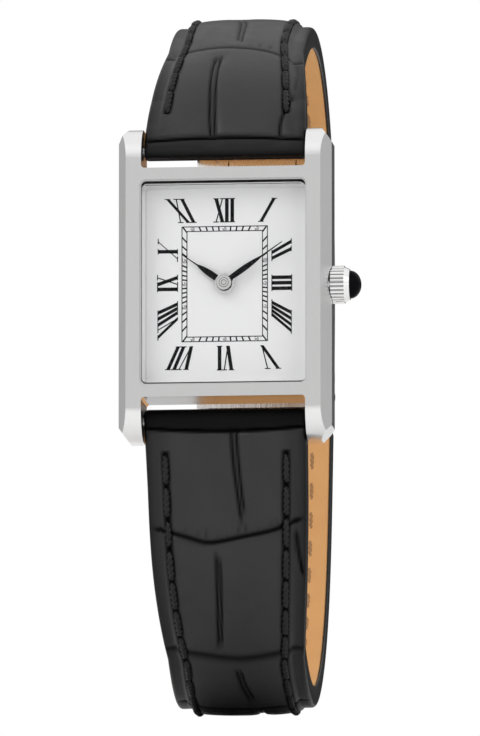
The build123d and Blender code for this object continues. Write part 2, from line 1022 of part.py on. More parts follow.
def thickness(share):
    """The strap swells just past the spring bar and then thins towards its end."""
    if share < padding_rise_share:
        rise = share / padding_rise_share
        return 2 * roll_radius + (padded_thick - 2 * roll_radius) * rise * rise * (3 - 2 * rise)
    run_out = (share - padding_rise_share) / (1 - padding_rise_share)
    return padded_thick + (end_thick - padded_thick) * run_out


def band(path, side, top, bottom, half_width, start=0, end=1):
    """A layer that follows the loop between two depths under the outer surface."""
    steps = [start + (end - start) * step / (strap_samples - 1) for step in range(strap_samples)]
    upper = [under(path, side, share, top(share)) for share in steps]
    lower = [under(path, side, share, bottom(share)) for share in steps]
    with BuildPart() as layer:
        with BuildSketch(Plane.YZ):
            with BuildLine():
                Spline(*upper)
                Line(upper[-1], lower[-1])
                Spline(*reversed(lower))
                Line(lower[0], upper[0])
            make_face()
        extrude(amount=half_width, both=True)
    return layer.part


def plan(margin=0, start_depth=0):
    """The strap's outline from above: full width between the lugs, then tapered."""
    full = strap_half - margin
    narrow = strap_end_half - margin
    with BuildPart() as block:
        with BuildSketch(Plane.XY.offset(-reach)):
            with BuildLine():
                Polyline(
                    (-full, front),
                    (full, front),
                    (full, front + taper_start_depth),
                    (narrow, front + taper_end_depth),
                    (narrow, reach),
                    (-narrow, reach),
                    (-narrow, front + taper_end_depth),
                    (-full, front + taper_start_depth),
                    close=True,
                )
            make_face()
            with Locations((0, front + start_depth + reach)):
                Rectangle(strap_space, 2 * reach, mode=Mode.INTERSECT)
        extrude(amount=2 * reach)
    return block.part


def lining_top(share):
    return thickness(share) - lining_thick


def side_notches(path, side):
    """Room at both edges of the strap's end for the ears of the clasp."""
    with BuildPart() as notches:
        with BuildSketch(Plane.YZ):
            with BuildLine():
                Polyline(
                    under(path, side, 1, -end_thick, -notch_length),
                    under(path, side, 1, -end_thick, notch_length),
                    under(path, side, 1, 2 * end_thick, notch_length),
                    under(path, side, 1, 2 * end_thick, -notch_length),
                    close=True,
                )
            make_face()
        extrude(amount=strap_half, both=True)
        inner = strap_end_half - ear_thick - ear_room
        with BuildSketch(Plane.YZ):
            with BuildLine():
                Polyline(
                    under(path, side, 1, -2 * end_thick, -2 * notch_length),
                    under(path, side, 1, -2 * end_thick, 2 * notch_length),
                    under(path, side, 1, 3 * end_thick, 2 * notch_length),
                    under(path, side, 1, 3 * end_thick, -2 * notch_length),
                    close=True,
                )
            make_face()
        extrude(amount=inner, both=True, mode=Mode.SUBTRACT)
    return notches.part


def strap_pieces(path, side):
    """The padding, the leather round it and the lining of one half of the strap."""
    bar_place = (bar_y, side * bar_z)
    end_place = under(path, side, 1, end_thick / 2, -end_bar_from_end)
    stop = under(path, side, 1, 0, -padding_stop)[1]

    with BuildPart() as padding:
        add(band(path, side, lambda share: skin_thick, lining_top, strap_space))
        add(plan(padding_margin, padding_start_depth), mode=Mode.INTERSECT)
        with BuildSketch(Plane.XY.offset(stop)):
            Rectangle(2 * reach, 2 * reach)
        extrude(amount=side * 2 * reach, mode=Mode.INTERSECT)

    with BuildPart() as leather:
        add(band(path, side, lambda share: 0, lining_top, strap_space))
        add(cross_rod(-strap_space, strap_space, roll_radius, *bar_place))
        add(plan(), mode=Mode.INTERSECT)
        add(padding.part, mode=Mode.SUBTRACT)
        add(
            cross_rod(-strap_space, strap_space, bar_tube_radius + strap_bore_gap, *bar_place),
            mode=Mode.SUBTRACT,
        )
        add(
            cross_rod(-strap_space, strap_space, end_bar_radius + slide_gap, *end_place),
            mode=Mode.SUBTRACT,
        )
        add(side_notches(path, side), mode=Mode.SUBTRACT)

    with BuildPart() as lining:
        add(band(path, side, lining_top, thickness, strap_space))
        add(plan(), mode=Mode.INTERSECT)
        add(cross_rod(-strap_space, strap_space, roll_radius, *bar_place), mode=Mode.SUBTRACT)
        add(
            cross_rod(-strap_space, strap_space, end_bar_radius + slide_gap, *end_place),
            mode=Mode.SUBTRACT,
        )
        add(side_notches(path, side), mode=Mode.SUBTRACT)
    return padding.part, leather.part, lining.part


upper_path = loop_path(upper_loop_shares, loop_top, 1)
lower_path = loop_path(lower_loop_shares, loop_drop, -1)
upper_padding, upper_leather, upper_lining = strap_pieces(upper_path, 1)
lower_padding, lower_leather, lower_lining = strap_pieces(lower_path, -1)

# Folding clasp: a cover blade under the upper strap half and a base blade that folds inside it
hinge_share = 1 - clasp_length / upper_path.length
cover_top = end_thick + clasp_gap
base_top = cover_top + cover_thick + blade_gap
upper_end_bar = under(upper_path, 1, 1, end_thick / 2, -end_bar_from_end)
lower_end_bar = under(lower_path, -1, 1, end_thick / 2, -end_bar_from_end)
hinge_place = under(upper_path, 1, hinge_share, thickness(hinge_share) + clasp_gap + knuckle_radius)
block_end = block_gap + block_length


def cover_outer(share):
    return thickness(share) + clasp_gap


def cover_inner(share):
    return cover_outer(share) + cover_thick


def base_outer(share):
    return cover_inner(share) + blade_gap


def base_inner(share):
    return base_outer(share) + base_thick


def end_plate(top, bottom, behind, ahead, half_width):
    """A straight plate that carries a blade on past the end of the upper strap half."""
    with BuildPart() as plate:
        with BuildSketch(Plane.YZ):
            with BuildLine():
                Polyline(
                    under(upper_path, 1, 1, top, -behind),
                    under(upper_path, 1, 1, top, ahead),
                    under(upper_path, 1, 1, bottom, ahead),
                    under(upper_path, 1, 1, bottom, -behind),
                    close=True,
                )
            make_face()
        extrude(amount=half_width, both=True)
    return plate.part


def end_ears(solid_to_cut):
    """The two outer slices of a piece, where the ears stand beside the strap's end."""
    with BuildPart() as ears:
        add(solid_to_cut)
        with BuildSketch(Plane.YZ):
            Rectangle(2 * reach, 2 * reach)
        extrude(amount=strap_end_half - ear_thick, both=True, mode=Mode.SUBTRACT)
    return ears.part


with BuildPart() as clasp_cover:
    add(band(upper_path, 1, cover_outer, cover_inner, cover_width / 2, hinge_share))
    add(end_plate(cover_top, cover_top + cover_thick, root_length, block_end, strap_end_half))
    add(end_plate(block_sunk, cover_top + cover_thick, -block_gap, block_end, strap_end_half))
    ear_back = end_bar_from_end + ear_radius
    add(
        end_ears(
            end_plate(end_thick / 2, cover_top + cover_thick, ear_back, block_end, strap_end_half)
        )
    )
    add(end_ears(cross_rod(-strap_end_half, strap_end_half, ear_radius, *upper_end_bar)))
    add(cross_rod(-cover_width / 2, cover_width / 2, knuckle_radius, *hinge_place))
    middle = middle_knuckle_width / 2 + blade_gap
    add(
        cross_rod(-middle, middle, knuckle_radius + knuckle_room, *hinge_place),
        mode=Mode.SUBTRACT,
    )
    add(
        cross_rod(-strap_space, strap_space, hinge_pin_radius, *hinge_place),
        mode=Mode.SUBTRACT,
    )
    add(
        cross_rod(-strap_space, strap_space, end_bar_radius, *upper_end_bar),
        mode=Mode.SUBTRACT,
    )
    catch_slot = catch_from_end + catch_length / 2
    with BuildSketch(Plane.YZ):
        with BuildLine():
            Polyline(
                under(upper_path, 1, 1, 0, -catch_slot - catch_room),
                under(upper_path, 1, 1, 0, catch_length + catch_room - catch_slot),
                under(upper_path, 1, 1, 2 * base_top, catch_length + catch_room - catch_slot),
                under(upper_path, 1, 1, 2 * base_top, -catch_slot - catch_room),
                close=True,
            )
        make_face()
    extrude(amount=catch_width / 2 + catch_room, both=True, mode=Mode.SUBTRACT)
    block_middle = under(
        upper_path, 1, 1, (block_sunk + cover_top) / 2, block_gap + block_length / 2
    )
    for side in (-1, 1):
        deep = strap_end_half + pusher_proud - pusher_length - pusher_travel - fit_gap
        ends = sorted((side * deep, side * strap_space))
        add(cross_rod(*ends, pusher_radius + slide_gap, *block_middle), mode=Mode.SUBTRACT)

with BuildPart() as clasp_base:
    add(band(upper_path, 1, base_outer, base_inner, base_width / 2, hinge_share))
    hook_low = block_end + block_gap + end_bar_from_end - (end_bar_radius + hook_gap) * hook_share
    add(end_plate(base_top, base_top + base_thick, root_length, hook_low, strap_end_half))
    hook_high = hook_low - hook_wall - (end_bar_radius + hook_gap) * hook_share
    add(
        end_ears(
            end_plate(end_thick / 2, base_top + base_thick, -hook_high, hook_low, strap_end_half)
        )
    )
    add(
        cross_rod(-strap_space, strap_space, end_bar_radius + hook_gap, *lower_end_bar),
        mode=Mode.SUBTRACT,
    )
    for side in (-1, 1):
        ends = sorted((side * middle_knuckle_width / 2, side * strap_space))
        add(
            cross_rod(*ends, knuckle_radius + knuckle_room, *hinge_place),
            mode=Mode.SUBTRACT,
        )
    half_knuckle = middle_knuckle_width / 2
    add(cross_rod(-half_knuckle, half_knuckle, knuckle_radius, *hinge_place))
    add(
        cross_rod(-strap_space, strap_space, hinge_pin_radius + slide_gap, *hinge_place),
        mode=Mode.SUBTRACT,
    )
    with BuildSketch(Plane.YZ):
        with BuildLine():
            Polyline(
                under(upper_path, 1, 1, base_top - catch_height, -catch_slot),
                under(upper_path, 1, 1, base_top - catch_height, catch_length - catch_slot),
                under(upper_path, 1, 1, base_top + base_thick / 2, catch_length - catch_slot),
                under(upper_path, 1, 1, base_top + base_thick / 2, -catch_slot),
                close=True,
            )
        make_face()
    extrude(amount=catch_width / 2, both=True)

with BuildPart() as clasp_hinge_pin:
    add(cross_rod(-cover_width / 2, cover_width / 2, hinge_pin_radius, *hinge_place))


def pusher(side):
    """A side button of the clasp, standing a little proud of its block."""
    ends = sorted(
        (
            side * (strap_end_half + pusher_proud - pusher_length),
            side * (strap_end_half + pusher_proud),
        )
    )
    with BuildPart() as button:
        add(cross_rod(*ends, pusher_radius, *block_middle))
        end_face = button.faces().sort_by(Axis.X)[-1 if side > 0 else 0]
        fillet(end_face.edges(), pusher_radius / 3)
    return button.part


pieces = {
    "case_body": case_body.part,
    "case_back": case_back.part,
    "case_back_gasket": case_back_gasket.part,
    "case_back_screws": case_back_screws.part,
    "crystal": crystal.part,
    "crystal_gasket": crystal_gasket.part,
    "dial": dial.part,
    "movement_holder": movement_holder.part,
    "main_plate": main_plate.part,
    "train_bridge": train_bridge.part,
    "bridge_screws": bridge_screws.part,
    "centre_wheel": centre_wheel.part,
    "intermediate_wheel": intermediate_wheel.part,
    "rotor": rotor.part,
    "stator": stator.part,
    "coil": coil.part,
    "circuit_block": circuit_block.part,
    "battery": battery.part,
    "battery_clamp": battery_clamp.part,
    "cannon_pinion": cannon_pinion.part,
    "minute_wheel": minute_wheel.part,
    "hour_wheel": hour_wheel.part,
    "hour_hand": hour_hand.part,
    "hour_hand_collet": hour_hand_collet.part,
    "minute_hand": minute_hand.part,
    "minute_hand_collet": minute_hand_collet.part,
    "crown_tube": crown_tube.part,
    "crown": crown.part,
    "crown_cabochon": crown_cabochon.part,
    "crown_gasket": crown_gasket.part,
    "stem": stem.part,
    "upper_spring_bar": spring_bar(bar_z),
    "lower_spring_bar": spring_bar(-bar_z),
    "upper_bar_tip_left": bar_tip(-1, bar_z),
    "upper_bar_tip_right": bar_tip(1, bar_z),
    "lower_bar_tip_left": bar_tip(-1, -bar_z),
    "lower_bar_tip_right": bar_tip(1, -bar_z),
    "upper_strap_leather": upper_leather,
    "upper_strap_padding": upper_padding,
    "upper_strap_lining": upper_lining,
    "lower_strap_leather": lower_leather,
    "lower_strap_padding": lower_padding,
    "lower_strap_lining": lower_lining,
    "upper_strap_end_bar": cross_rod(-strap_end_half, strap_end_half, end_bar_radius, *upper_end_bar),
    "lower_strap_end_bar": cross_rod(-strap_end_half, strap_end_half, end_bar_radius, *lower_end_bar),
    "clasp_cover": clasp_cover.part,
    "clasp_base": clasp_base.part,
    "clasp_hinge_pin": clasp_hinge_pin.part,
    "clasp_pusher_left": pusher(-1),
    "clasp_pusher_right": pusher(1),
}
for name, piece in pieces.items():
    piece.label = name
    export_step(piece, f"parts/{name}.step")

print("spring bar axis at y", round(bar_y, 3), "z", round(bar_z, 3))
print("stem axis at y", round(stem_y, 3))
print("minute wheel at", minute_wheel_place, "intermediate wheel at", intermediate_place)
print("rotor at", rotor_place)
print("clasp hinge at", hinge_place, "pushers at", block_middle)
print("end bars at", upper_end_bar, lower_end_bar)
print("strap halves along the outer surface", round(upper_path.length, 2), round(lower_path.length, 2))
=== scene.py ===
import json
import random
from math import cos, pi, radians, sin

import bmesh
import bpy
import numpy as np
from mathutils import Matrix, Vector
from mathutils.geometry import tessellate_polygon


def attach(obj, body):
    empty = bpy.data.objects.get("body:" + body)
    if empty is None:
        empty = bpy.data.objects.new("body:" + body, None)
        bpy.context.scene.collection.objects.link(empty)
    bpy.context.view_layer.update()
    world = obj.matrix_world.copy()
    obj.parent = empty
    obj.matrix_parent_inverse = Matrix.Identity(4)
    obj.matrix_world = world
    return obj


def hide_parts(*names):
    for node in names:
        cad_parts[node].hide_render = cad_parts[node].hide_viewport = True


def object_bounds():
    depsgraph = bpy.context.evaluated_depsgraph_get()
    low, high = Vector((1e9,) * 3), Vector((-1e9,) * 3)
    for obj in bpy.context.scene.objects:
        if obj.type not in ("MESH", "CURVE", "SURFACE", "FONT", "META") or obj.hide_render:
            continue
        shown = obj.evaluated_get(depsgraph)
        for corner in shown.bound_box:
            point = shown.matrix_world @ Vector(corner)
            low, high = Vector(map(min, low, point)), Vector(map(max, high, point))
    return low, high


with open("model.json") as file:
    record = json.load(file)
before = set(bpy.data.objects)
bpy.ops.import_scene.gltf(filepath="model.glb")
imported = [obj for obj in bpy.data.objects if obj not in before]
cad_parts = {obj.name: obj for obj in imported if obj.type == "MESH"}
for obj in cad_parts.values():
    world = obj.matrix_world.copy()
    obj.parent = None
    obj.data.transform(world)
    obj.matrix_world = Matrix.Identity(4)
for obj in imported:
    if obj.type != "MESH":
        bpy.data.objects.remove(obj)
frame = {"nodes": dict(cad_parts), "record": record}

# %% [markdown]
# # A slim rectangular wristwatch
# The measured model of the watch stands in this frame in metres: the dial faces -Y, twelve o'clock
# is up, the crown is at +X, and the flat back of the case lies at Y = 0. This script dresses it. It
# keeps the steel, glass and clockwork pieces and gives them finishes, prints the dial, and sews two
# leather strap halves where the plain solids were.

MM = 0.001
cad_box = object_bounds()
print("the measured model reaches", [[round(v / MM, 2) for v in corner] for corner in cad_box])


def show(name, data):
    """Puts a mesh, a lens or a lamp into the scene."""
    made = bpy.data.objects.new(name, data)
    bpy.context.scene.collection.objects.link(made)
    return made


# %% [markdown]
# ## The camera
# The photograph looks at the watch from a little below and a little from the crown side, through a
# long lens, so the sides of the case stay parallel. The frame is 480 by 736 pixels and a millimetre
# of the dial is 10.3 pixels wide, so the lens follows from the distance.

# %% The camera
frame_wide, frame_high = 480, 736
pixels_per_mm = 10.3
hub_pixel = (224.2, 283.0)
azimuth, elevation = radians(5.6), radians(-8.5)
camera_distance = 1.50
hub = Vector((0.0, -4.9 * MM, 0.0))

towards_camera = Vector((sin(azimuth) * cos(elevation), -cos(azimuth) * cos(elevation), sin(elevation)))
screen_right = Vector((cos(azimuth), sin(azimuth), 0.0))
screen_up = towards_camera.cross(screen_right)
aim = (
    hub
    + screen_right * ((frame_wide / 2 - hub_pixel[0]) / pixels_per_mm * MM)
    + screen_up * ((hub_pixel[1] - frame_high / 2) / pixels_per_mm * MM)
)
lens = bpy.data.cameras.new("studio_camera")
lens.sensor_width = 36.0
lens.lens = lens.sensor_width * camera_distance / (frame_high / pixels_per_mm * MM)
lens.clip_start, lens.clip_end = 0.01, 10.0
camera = show("studio_camera", lens)
turn = Matrix((screen_right, screen_up, towards_camera)).transposed().to_4x4()
camera.matrix_world = Matrix.Translation(aim + towards_camera * camera_distance) @ turn
bpy.context.scene.camera = camera
print("lens", round(lens.lens, 1), "mm at", camera_distance, "m")

# %% [markdown]
# ## Small helpers for nodes
# A finish is a graph of nodes. With these helpers it reads as a row of plain formulas: each helper
# adds one node, fills its inputs with values or with the outputs of other nodes, and gives back its
# own output, ready for the next one.


# %% Node helpers
def feed(tree, node, given):
    """Fills a node's inputs, by name or number, with values or with other nodes' outputs."""
    for label, value in given.items():
        socket = node.inputs[label]
        if isinstance(value, bpy.types.NodeSocket):
            tree.links.new(value, socket)
        else:
            socket.default_value = (*value, 1) if socket.type == "RGBA" else value


def put(tree, kind, given=None, out=0, **settings):
    """Adds a node with its settings and inputs; gives back one output, or all when out is None."""
    node = tree.nodes.new(kind)
    for label, value in settings.items():
        setattr(node, label, value)
    feed(tree, node, given or {})
    return node.outputs if out is None else node.outputs[out]


def calc(tree, operation, *given):
    """Calculates with numbers."""
    return put(tree, "ShaderNodeMath", dict(enumerate(given)), operation=operation)


def calc_vector(tree, operation, *given, out=0):
    """Calculates with vectors."""
    return put(tree, "ShaderNodeVectorMath", dict(enumerate(given)), out, operation=operation)


def spread(tree, value, low, high, to_low, to_high, **settings):
    """Moves a value from one range into another and holds it there."""
    return put(tree, "ShaderNodeMapRange", dict(enumerate((value, low, high, to_low, to_high))), **settings)


def mix_tones(tree, share, first, second, **settings):
    """A colour between two colours."""
    return put(tree, "ShaderNodeMix", {0: share, 6: first, 7: second}, 2, data_type="RGBA", **settings)


def mix_values(tree, share, first, second):
    """A number between two numbers."""
    return put(tree, "ShaderNodeMix", {0: share, 2: first, 3: second}, data_type="FLOAT")


def mix_shaders(tree, share, first, second):
    """A surface between two surfaces."""
    return put(tree, "ShaderNodeMixShader", {0: share, 1: first, 2: second})


def noise(tree, where, scale, detail):
    return put(tree, "ShaderNodeTexNoise", {"Vector": where, "Scale": scale, "Detail": detail})


def spread_noise(tree, value, to_low, to_high):
    """Spreads a noise, which lies mostly between 0.3 and 0.7, over another range."""
    return spread(tree, value, 0.3, 0.7, to_low, to_high)


def places_on(tree):
    """Each point's place on its piece, in metres."""
    return put(tree, "ShaderNodeTexCoord", out="Object")


def start_tree(name, kind, inputs, outputs):
    """A tree with named inputs, as (name, kind, value), and named outputs, as (name, kind)."""
    tree = bpy.data.node_groups.new(name, kind)
    for label, socket_kind, *value in inputs:
        socket = tree.interface.new_socket(name=label, in_out="INPUT", socket_type="NodeSocket" + socket_kind)
        if value:
            socket.default_value = value[0]
    for label, socket_kind in outputs:
        tree.interface.new_socket(name=label, in_out="OUTPUT", socket_type="NodeSocket" + socket_kind)
    return tree, tree.nodes.new("NodeGroupInput").outputs, tree.nodes.new("NodeGroupOutput")


def new_finish(name, **given):
    """A material whose Principled BSDF gets these values; an underscore stands for a space."""
    material = bpy.data.materials.new(name)
    material.use_nodes = True
    tree = material.node_tree
    shader = tree.nodes["Principled BSDF"]
    feed(tree, shader, {label.replace("_", " "): value for label, value in given.items()})
    return material, tree, shader


def two_toned(tree, shader, mask, tones, gloss, height, strength, reach):
    """Feeds a shader with two tones mixed by a mask, a changing gloss, and a fine relief."""
    relief = {"Height": height, "Strength": strength, "Distance": reach}
    feed(tree, shader, {
        "Base Color": mix_tones(tree, mask, *tones),
        "Roughness": gloss,
        "Normal": put(tree, "ShaderNodeBump", relief),
    })


# %% [markdown]
# ## Brushed and polished metal
# Real steel is never one roughness. A brushed face carries fine parallel scratches from the abrasive
# belt, and handling leaves faint smudges. One group makes both from noise that is stretched along the
# brushing, and each metal places it with its own stretch, depth and spread of roughness.

# %% The brushing group
brushing, given, result = start_tree(
    "brushing", "ShaderNodeTree",
    [("Stretch", "Vector", (9000.0, 9000.0, 300.0)), ("Smooth", "Float", 0.16), ("Rough", "Float", 0.30)],
    [("Roughness", "Float"), ("Height", "Float"), ("Smudge", "Float")],
)
place = places_on(brushing)
scratches = noise(brushing, calc_vector(brushing, "MULTIPLY", place, given["Stretch"]), 1.0, 3.0)
smudges = noise(brushing, place, 260.0, 2.0)
wear = calc(brushing, "MULTIPLY_ADD", scratches, 0.6, calc(brushing, "MULTIPLY", smudges, 0.4))
feed(brushing, result, {
    "Roughness": spread_noise(brushing, wear, given["Smooth"], given["Rough"]),
    "Height": scratches,
    "Smudge": smudges,
})
scratch_height = 0.00002


def metal(name, bright, dull, smooth, rough, stretch, depth):
    """A metal finish: two close tones mixed by the smudges, with brushed roughness and relief."""
    material, tree, shader = new_finish(name, Base_Color=bright, Roughness=rough, Metallic=1.0)
    sizes = {"Stretch": stretch, "Smooth": smooth, "Rough": rough}
    brushed = put(tree, "ShaderNodeGroup", sizes, None, node_tree=brushing)
    relief = brushed["Height"], depth, scratch_height
    two_toned(tree, shader, brushed["Smudge"], (bright, dull), brushed["Roughness"], *relief)
    return material


finishes = {row[0]: metal(*row) for row in (
    ("case_steel", (0.86, 0.86, 0.855), (0.80, 0.80, 0.80), 0.19, 0.24, (9000, 9000, 420), 0.03),
    ("polished_steel", (0.88, 0.88, 0.875), (0.80, 0.80, 0.80), 0.05, 0.13, (5000, 5000, 5000), 0.04),
    ("clasp_steel", (0.80, 0.80, 0.79), (0.70, 0.70, 0.70), 0.18, 0.36, (9000, 420, 420), 0.18),
    ("gilt_brass", (0.84, 0.68, 0.38), (0.74, 0.56, 0.28), 0.20, 0.38, (2600, 2600, 2600), 0.25),
    ("magnet_grey", (0.34, 0.34, 0.36), (0.24, 0.24, 0.26), 0.30, 0.50, (3000, 3000, 3000), 0.2),
    ("coil_copper", (0.78, 0.38, 0.20), (0.60, 0.26, 0.12), 0.22, 0.40, (22000, 400, 400), 0.8),
)}
print("metals:", ", ".join(finishes))

# %% [markdown]
# ## Smooth finishes: lacquer, stone, plastic and rubber
# The black hands are lacquered, the cabochon is polished stone, the dial is a fine matt silver white
# that sparkles a little. These differ in gloss and in the size of their grain, so one helper makes
# them from a colour, a second tone and a noise of the right scale. The blacks mirror next to nothing,
# or the pale room would turn them grey.

# %% Coated and moulded finishes
grain_height = 0.00003


def coated(name, colour, tone, roughness, grain, depth, mirroring=0.5):
    """A coat or a moulded surface with a fine grain in its tone, its gloss and its relief."""
    material, tree, shader = new_finish(
        name, Base_Color=colour, Roughness=roughness, Specular_IOR_Level=mirroring,
    )
    speckle = noise(tree, places_on(tree), grain, 4.0)
    gloss = spread_noise(tree, speckle, roughness * 0.8, roughness * 1.25)
    two_toned(tree, shader, speckle, (colour, tone), gloss, speckle, depth, grain_height)
    return material


finishes.update({row[0]: coated(*row) for row in (
    ("dial_white", (0.80, 0.80, 0.805), (0.755, 0.755, 0.76), 0.42, 16000, 0.10),
    ("hand_black", (0.004, 0.004, 0.005), (0.008, 0.008, 0.009), 0.34, 6000, 0.02, 0.05),
    ("cabochon_black", (0.002, 0.002, 0.003), (0.005, 0.005, 0.006), 0.07, 900, 0.01, 0.02),
    ("black_rubber", (0.022, 0.022, 0.022), (0.035, 0.035, 0.035), 0.62, 7000, 0.3),
    ("white_plastic", (0.74, 0.74, 0.71), (0.68, 0.68, 0.65), 0.42, 5000, 0.1),
    ("clear_gasket", (0.60, 0.60, 0.60), (0.52, 0.52, 0.52), 0.35, 4000, 0.05),
    ("circuit_green", (0.03, 0.16, 0.08), (0.05, 0.24, 0.12), 0.35, 3500, 0.15),
    ("print_black", (0.003, 0.003, 0.004), (0.006, 0.006, 0.007), 0.40, 12000, 0.05, 0.10),
    ("print_grey", (0.03, 0.03, 0.033), (0.05, 0.05, 0.055), 0.45, 12000, 0.05, 0.2),
)})
print("finishes so far:", len(finishes))

# %% [markdown]
# ## The crystal
# A flat mineral crystal with a polished bevel. Bare glass mirrors a tenth of the room, which would turn
# the black print grey. Watch crystals are coated against that, so here a refraction that mirrors nothing
# is mixed with a little plain glass. Light on its way to the dial or back from it goes straight through:
# a path tracer is slow at finding lamps through glass, and would count the room twice. A faint noise in
# the gloss keeps the crystal from looking like an empty hole.

# %% The crystal's glass
glass_bending, bare_share = 1.52, 0.12
finishes["crystal"], tree, bare_glass = new_finish(
    "crystal", Base_Color=(1.0, 1.0, 1.0), Roughness=0.0, IOR=glass_bending, Transmission_Weight=1.0,
)
wipes = noise(tree, places_on(tree), 300.0, 3.0)
haze = spread(tree, wipes, 0.45, 0.75, 0.0, 0.02)
feed(tree, bare_glass, {"Roughness": haze})
coated_glass = put(tree, "ShaderNodeBsdfRefraction", {"IOR": glass_bending, "Roughness": haze})
glass = mix_shaders(tree, bare_share, coated_glass, bare_glass.outputs[0])
rays = put(tree, "ShaderNodeLightPath", out=None)
lights_dial = calc(tree, "MAXIMUM", rays["Is Shadow Ray"], rays["Is Diffuse Ray"])
surface = mix_shaders(tree, lights_dial, glass, put(tree, "ShaderNodeBsdfTransparent"))
feed(tree, tree.nodes["Material Output"], {"Surface": surface})
print("the crystal is", round(100 * bare_share), "% bare glass")

# %% [markdown]
# ## Dressing the measured pieces
# Every measured piece keeps its shape. Its material slot in the record names its finish, so one loop
# hands them out. Wheels and screws inside the case get the same care, because a reader may open it.

# %% Finishes for the measured pieces
slot_of = {row["node"]: row["material_slot"] for row in frame["record"]["subparts"]}
for name, piece in frame["nodes"].items():
    finish = finishes.get(slot_of[name])
    if finish:
        piece.data.materials.clear()
        piece.data.materials.append(finish)
print("dressed", sum(slot in finishes for slot in slot_of.values()), "of", len(slot_of), "pieces")

# %% [markdown]
# ## Painted shade in the crown's flutes and on the collets
# Steel parts of one polish show their borders only by a fine dark line where they meet. It is painted
# shade here: on the floor of the crown's flutes and round the steps of the two collets. Both are circles
# about an axis, so the distance from that axis finds them.


# %% Dark rings
def darken(material, mask):
    """Multiplies a metal's tone by a mask."""
    tree = material.node_tree
    shader = tree.nodes["Principled BSDF"]
    tone = shader.inputs["Base Color"].links[0].from_socket
    feed(tree, shader, {"Base Color": mix_tones(tree, 1.0, tone, mask, blend_type="MULTIPLY")})


def near_value(tree, value, middle, within, fade, dark):
    """A mask that is dark where a value lies close to the given one, and 1 elsewhere."""
    apart = calc(tree, "ABSOLUTE", calc(tree, "SUBTRACT", value, middle))
    return spread(tree, apart, within, within + fade, dark, 1.0)


def ringed(name, keep, offset, rings, within, dark):
    """Polished steel with circles of painted shade about an axis; keep is 1 / MM for the two directions across
    it.
    """
    material = metal(name, (0.90, 0.90, 0.895), (0.84, 0.84, 0.84), 0.07, 0.14, (5000, 5000, 5000), 0.03)
    tree = material.node_tree
    across = calc_vector(tree, "MULTIPLY_ADD", places_on(tree), keep, offset)
    radius = calc_vector(tree, "LENGTH", across, out="Value")
    for ring in rings:
        darken(material, near_value(tree, radius, ring, within, 0.03, dark))
    return material


crown_depth, flute_floor = 2.7, 1.765
collet_steps = [0.24, 0.45, 0.73]
# painted shade in the floor of the crown's flutes and at the steps of the collets
crown_steel = ringed("crown_steel", (0, 1 / MM, 1 / MM), (0, crown_depth, 0), [flute_floor], 0.004, 0.25)
collet_steel = ringed("collet_steel", (1 / MM, 0, 1 / MM), (0, 0, 0), collet_steps, 0.012, 0.30)
for name, finish in (
    ("crown", crown_steel), ("hour_hand_collet", collet_steel), ("minute_hand_collet", collet_steel),
):
    frame["nodes"][name].data.materials[0] = finish
print("dark rings on", crown_steel.name, "and", collet_steel.name)

# %% [markdown]
# ## Walls and bevels of the case
# The walls between the lugs and at the ends of the body are darkened as painted shade of the hollow
# where the strap sits. The long bevels have a coarser satin, so they show no sharp picture of the crown,
# and a slightly lower tone, painted shade of faces that turn aside. All of them are flat and lie in known
# planes, so their place and the way they face find them.

# %% Painted shade on the walls, and a satin bevel
lug_inner_half, body_half_length = 8.0, 11.25
wall_shade, faces_away = 0.35, 0.9
bevel_facing, bevel_shade, bevel_roughness = 0.931, 0.82, 0.36
close = 0.02

steel = finishes["case_steel"]
tree = steel.node_tree
coordinates = put(tree, "ShaderNodeTexCoord", out=None)
place_mm = calc_vector(tree, "MULTIPLY", coordinates["Object"], (1 / MM, 1 / MM, 1 / MM))
far, facing = (
    put(tree, "ShaderNodeSeparateXYZ", {0: calc_vector(tree, "ABSOLUTE", vector)}, None)
    for vector in (place_mm, coordinates["Normal"])
)
# painted shade: the flat walls between the lugs and at the ends of the body are darkened
for axis, plane in (("X", lug_inner_half), ("Z", body_half_length)):
    off_plane = near_value(tree, far[axis], plane, close, close, wall_shade)
    turned_away = calc(tree, "LESS_THAN", facing[axis], faces_away)
    darken(steel, calc(tree, "MAXIMUM", off_plane, turned_away))

shader = tree.nodes["Principled BSDF"]
brushed = shader.inputs["Roughness"].links[0].from_socket
off_bevel = near_value(tree, facing["X"], bevel_facing, close, close, 0.0)
feed(tree, shader, {"Roughness": mix_values(tree, off_bevel, bevel_roughness, brushed)})
# painted shade: the sideways bevels are darkened a little
darken(steel, near_value(tree, facing["X"], bevel_facing, close, close, bevel_shade))
print("dull walls at", lug_inner_half, "and", body_half_length, "mm")

# %% [markdown]
# ## Making a mesh from rows
# Several pieces are made from plain lists of points. These helpers turn points in millimetres into a
# mesh, join a grid of points with faces, and make a finished mesh ride on a body of the watch.


# %% Mesh helpers
def mesh_of(name, points, faces):
    """A mesh from points in millimetres."""
    mesh = bpy.data.meshes.new(name)
    mesh.from_pydata([tuple(float(v) * MM for v in point) for point in points], [], faces)
    return mesh


def grid_faces(rows, columns, ring=False, loop=False, start=0):
    """Faces of a grid listed row by row; ring closes each row, loop joins the last row to the first."""
    corners = (0, 0), (0, 1), (1, 1), (1, 0)
    return [
        tuple(start + (i + down) % rows * columns + (j + on) % columns for down, on in corners)
        for i in range(rows - (not loop)) for j in range(columns - (not ring))
    ]


def wall_faces(rows, columns, column, length):
    """A side wall in a looped grid: it joins a column's first rows to its last ones."""
    at = [row * columns + column for row in range(rows)]
    return [(at[i], at[i + 1], at[rows - 2 - i], at[rows - 1 - i]) for i in range(length)]


def face_outwards(made):
    """Turns every face outwards, and counts the open edges."""
    shell = bmesh.new()
    shell.from_mesh(made.data)
    bmesh.ops.recalc_face_normals(shell, faces=shell.faces)
    open_edges = sum(not edge.is_manifold for edge in shell.edges)
    shell.to_mesh(made.data)
    shell.free()
    return open_edges


def add_piece(name, mesh, body):
    piece = show(name, mesh)
    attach(piece, body)
    return piece


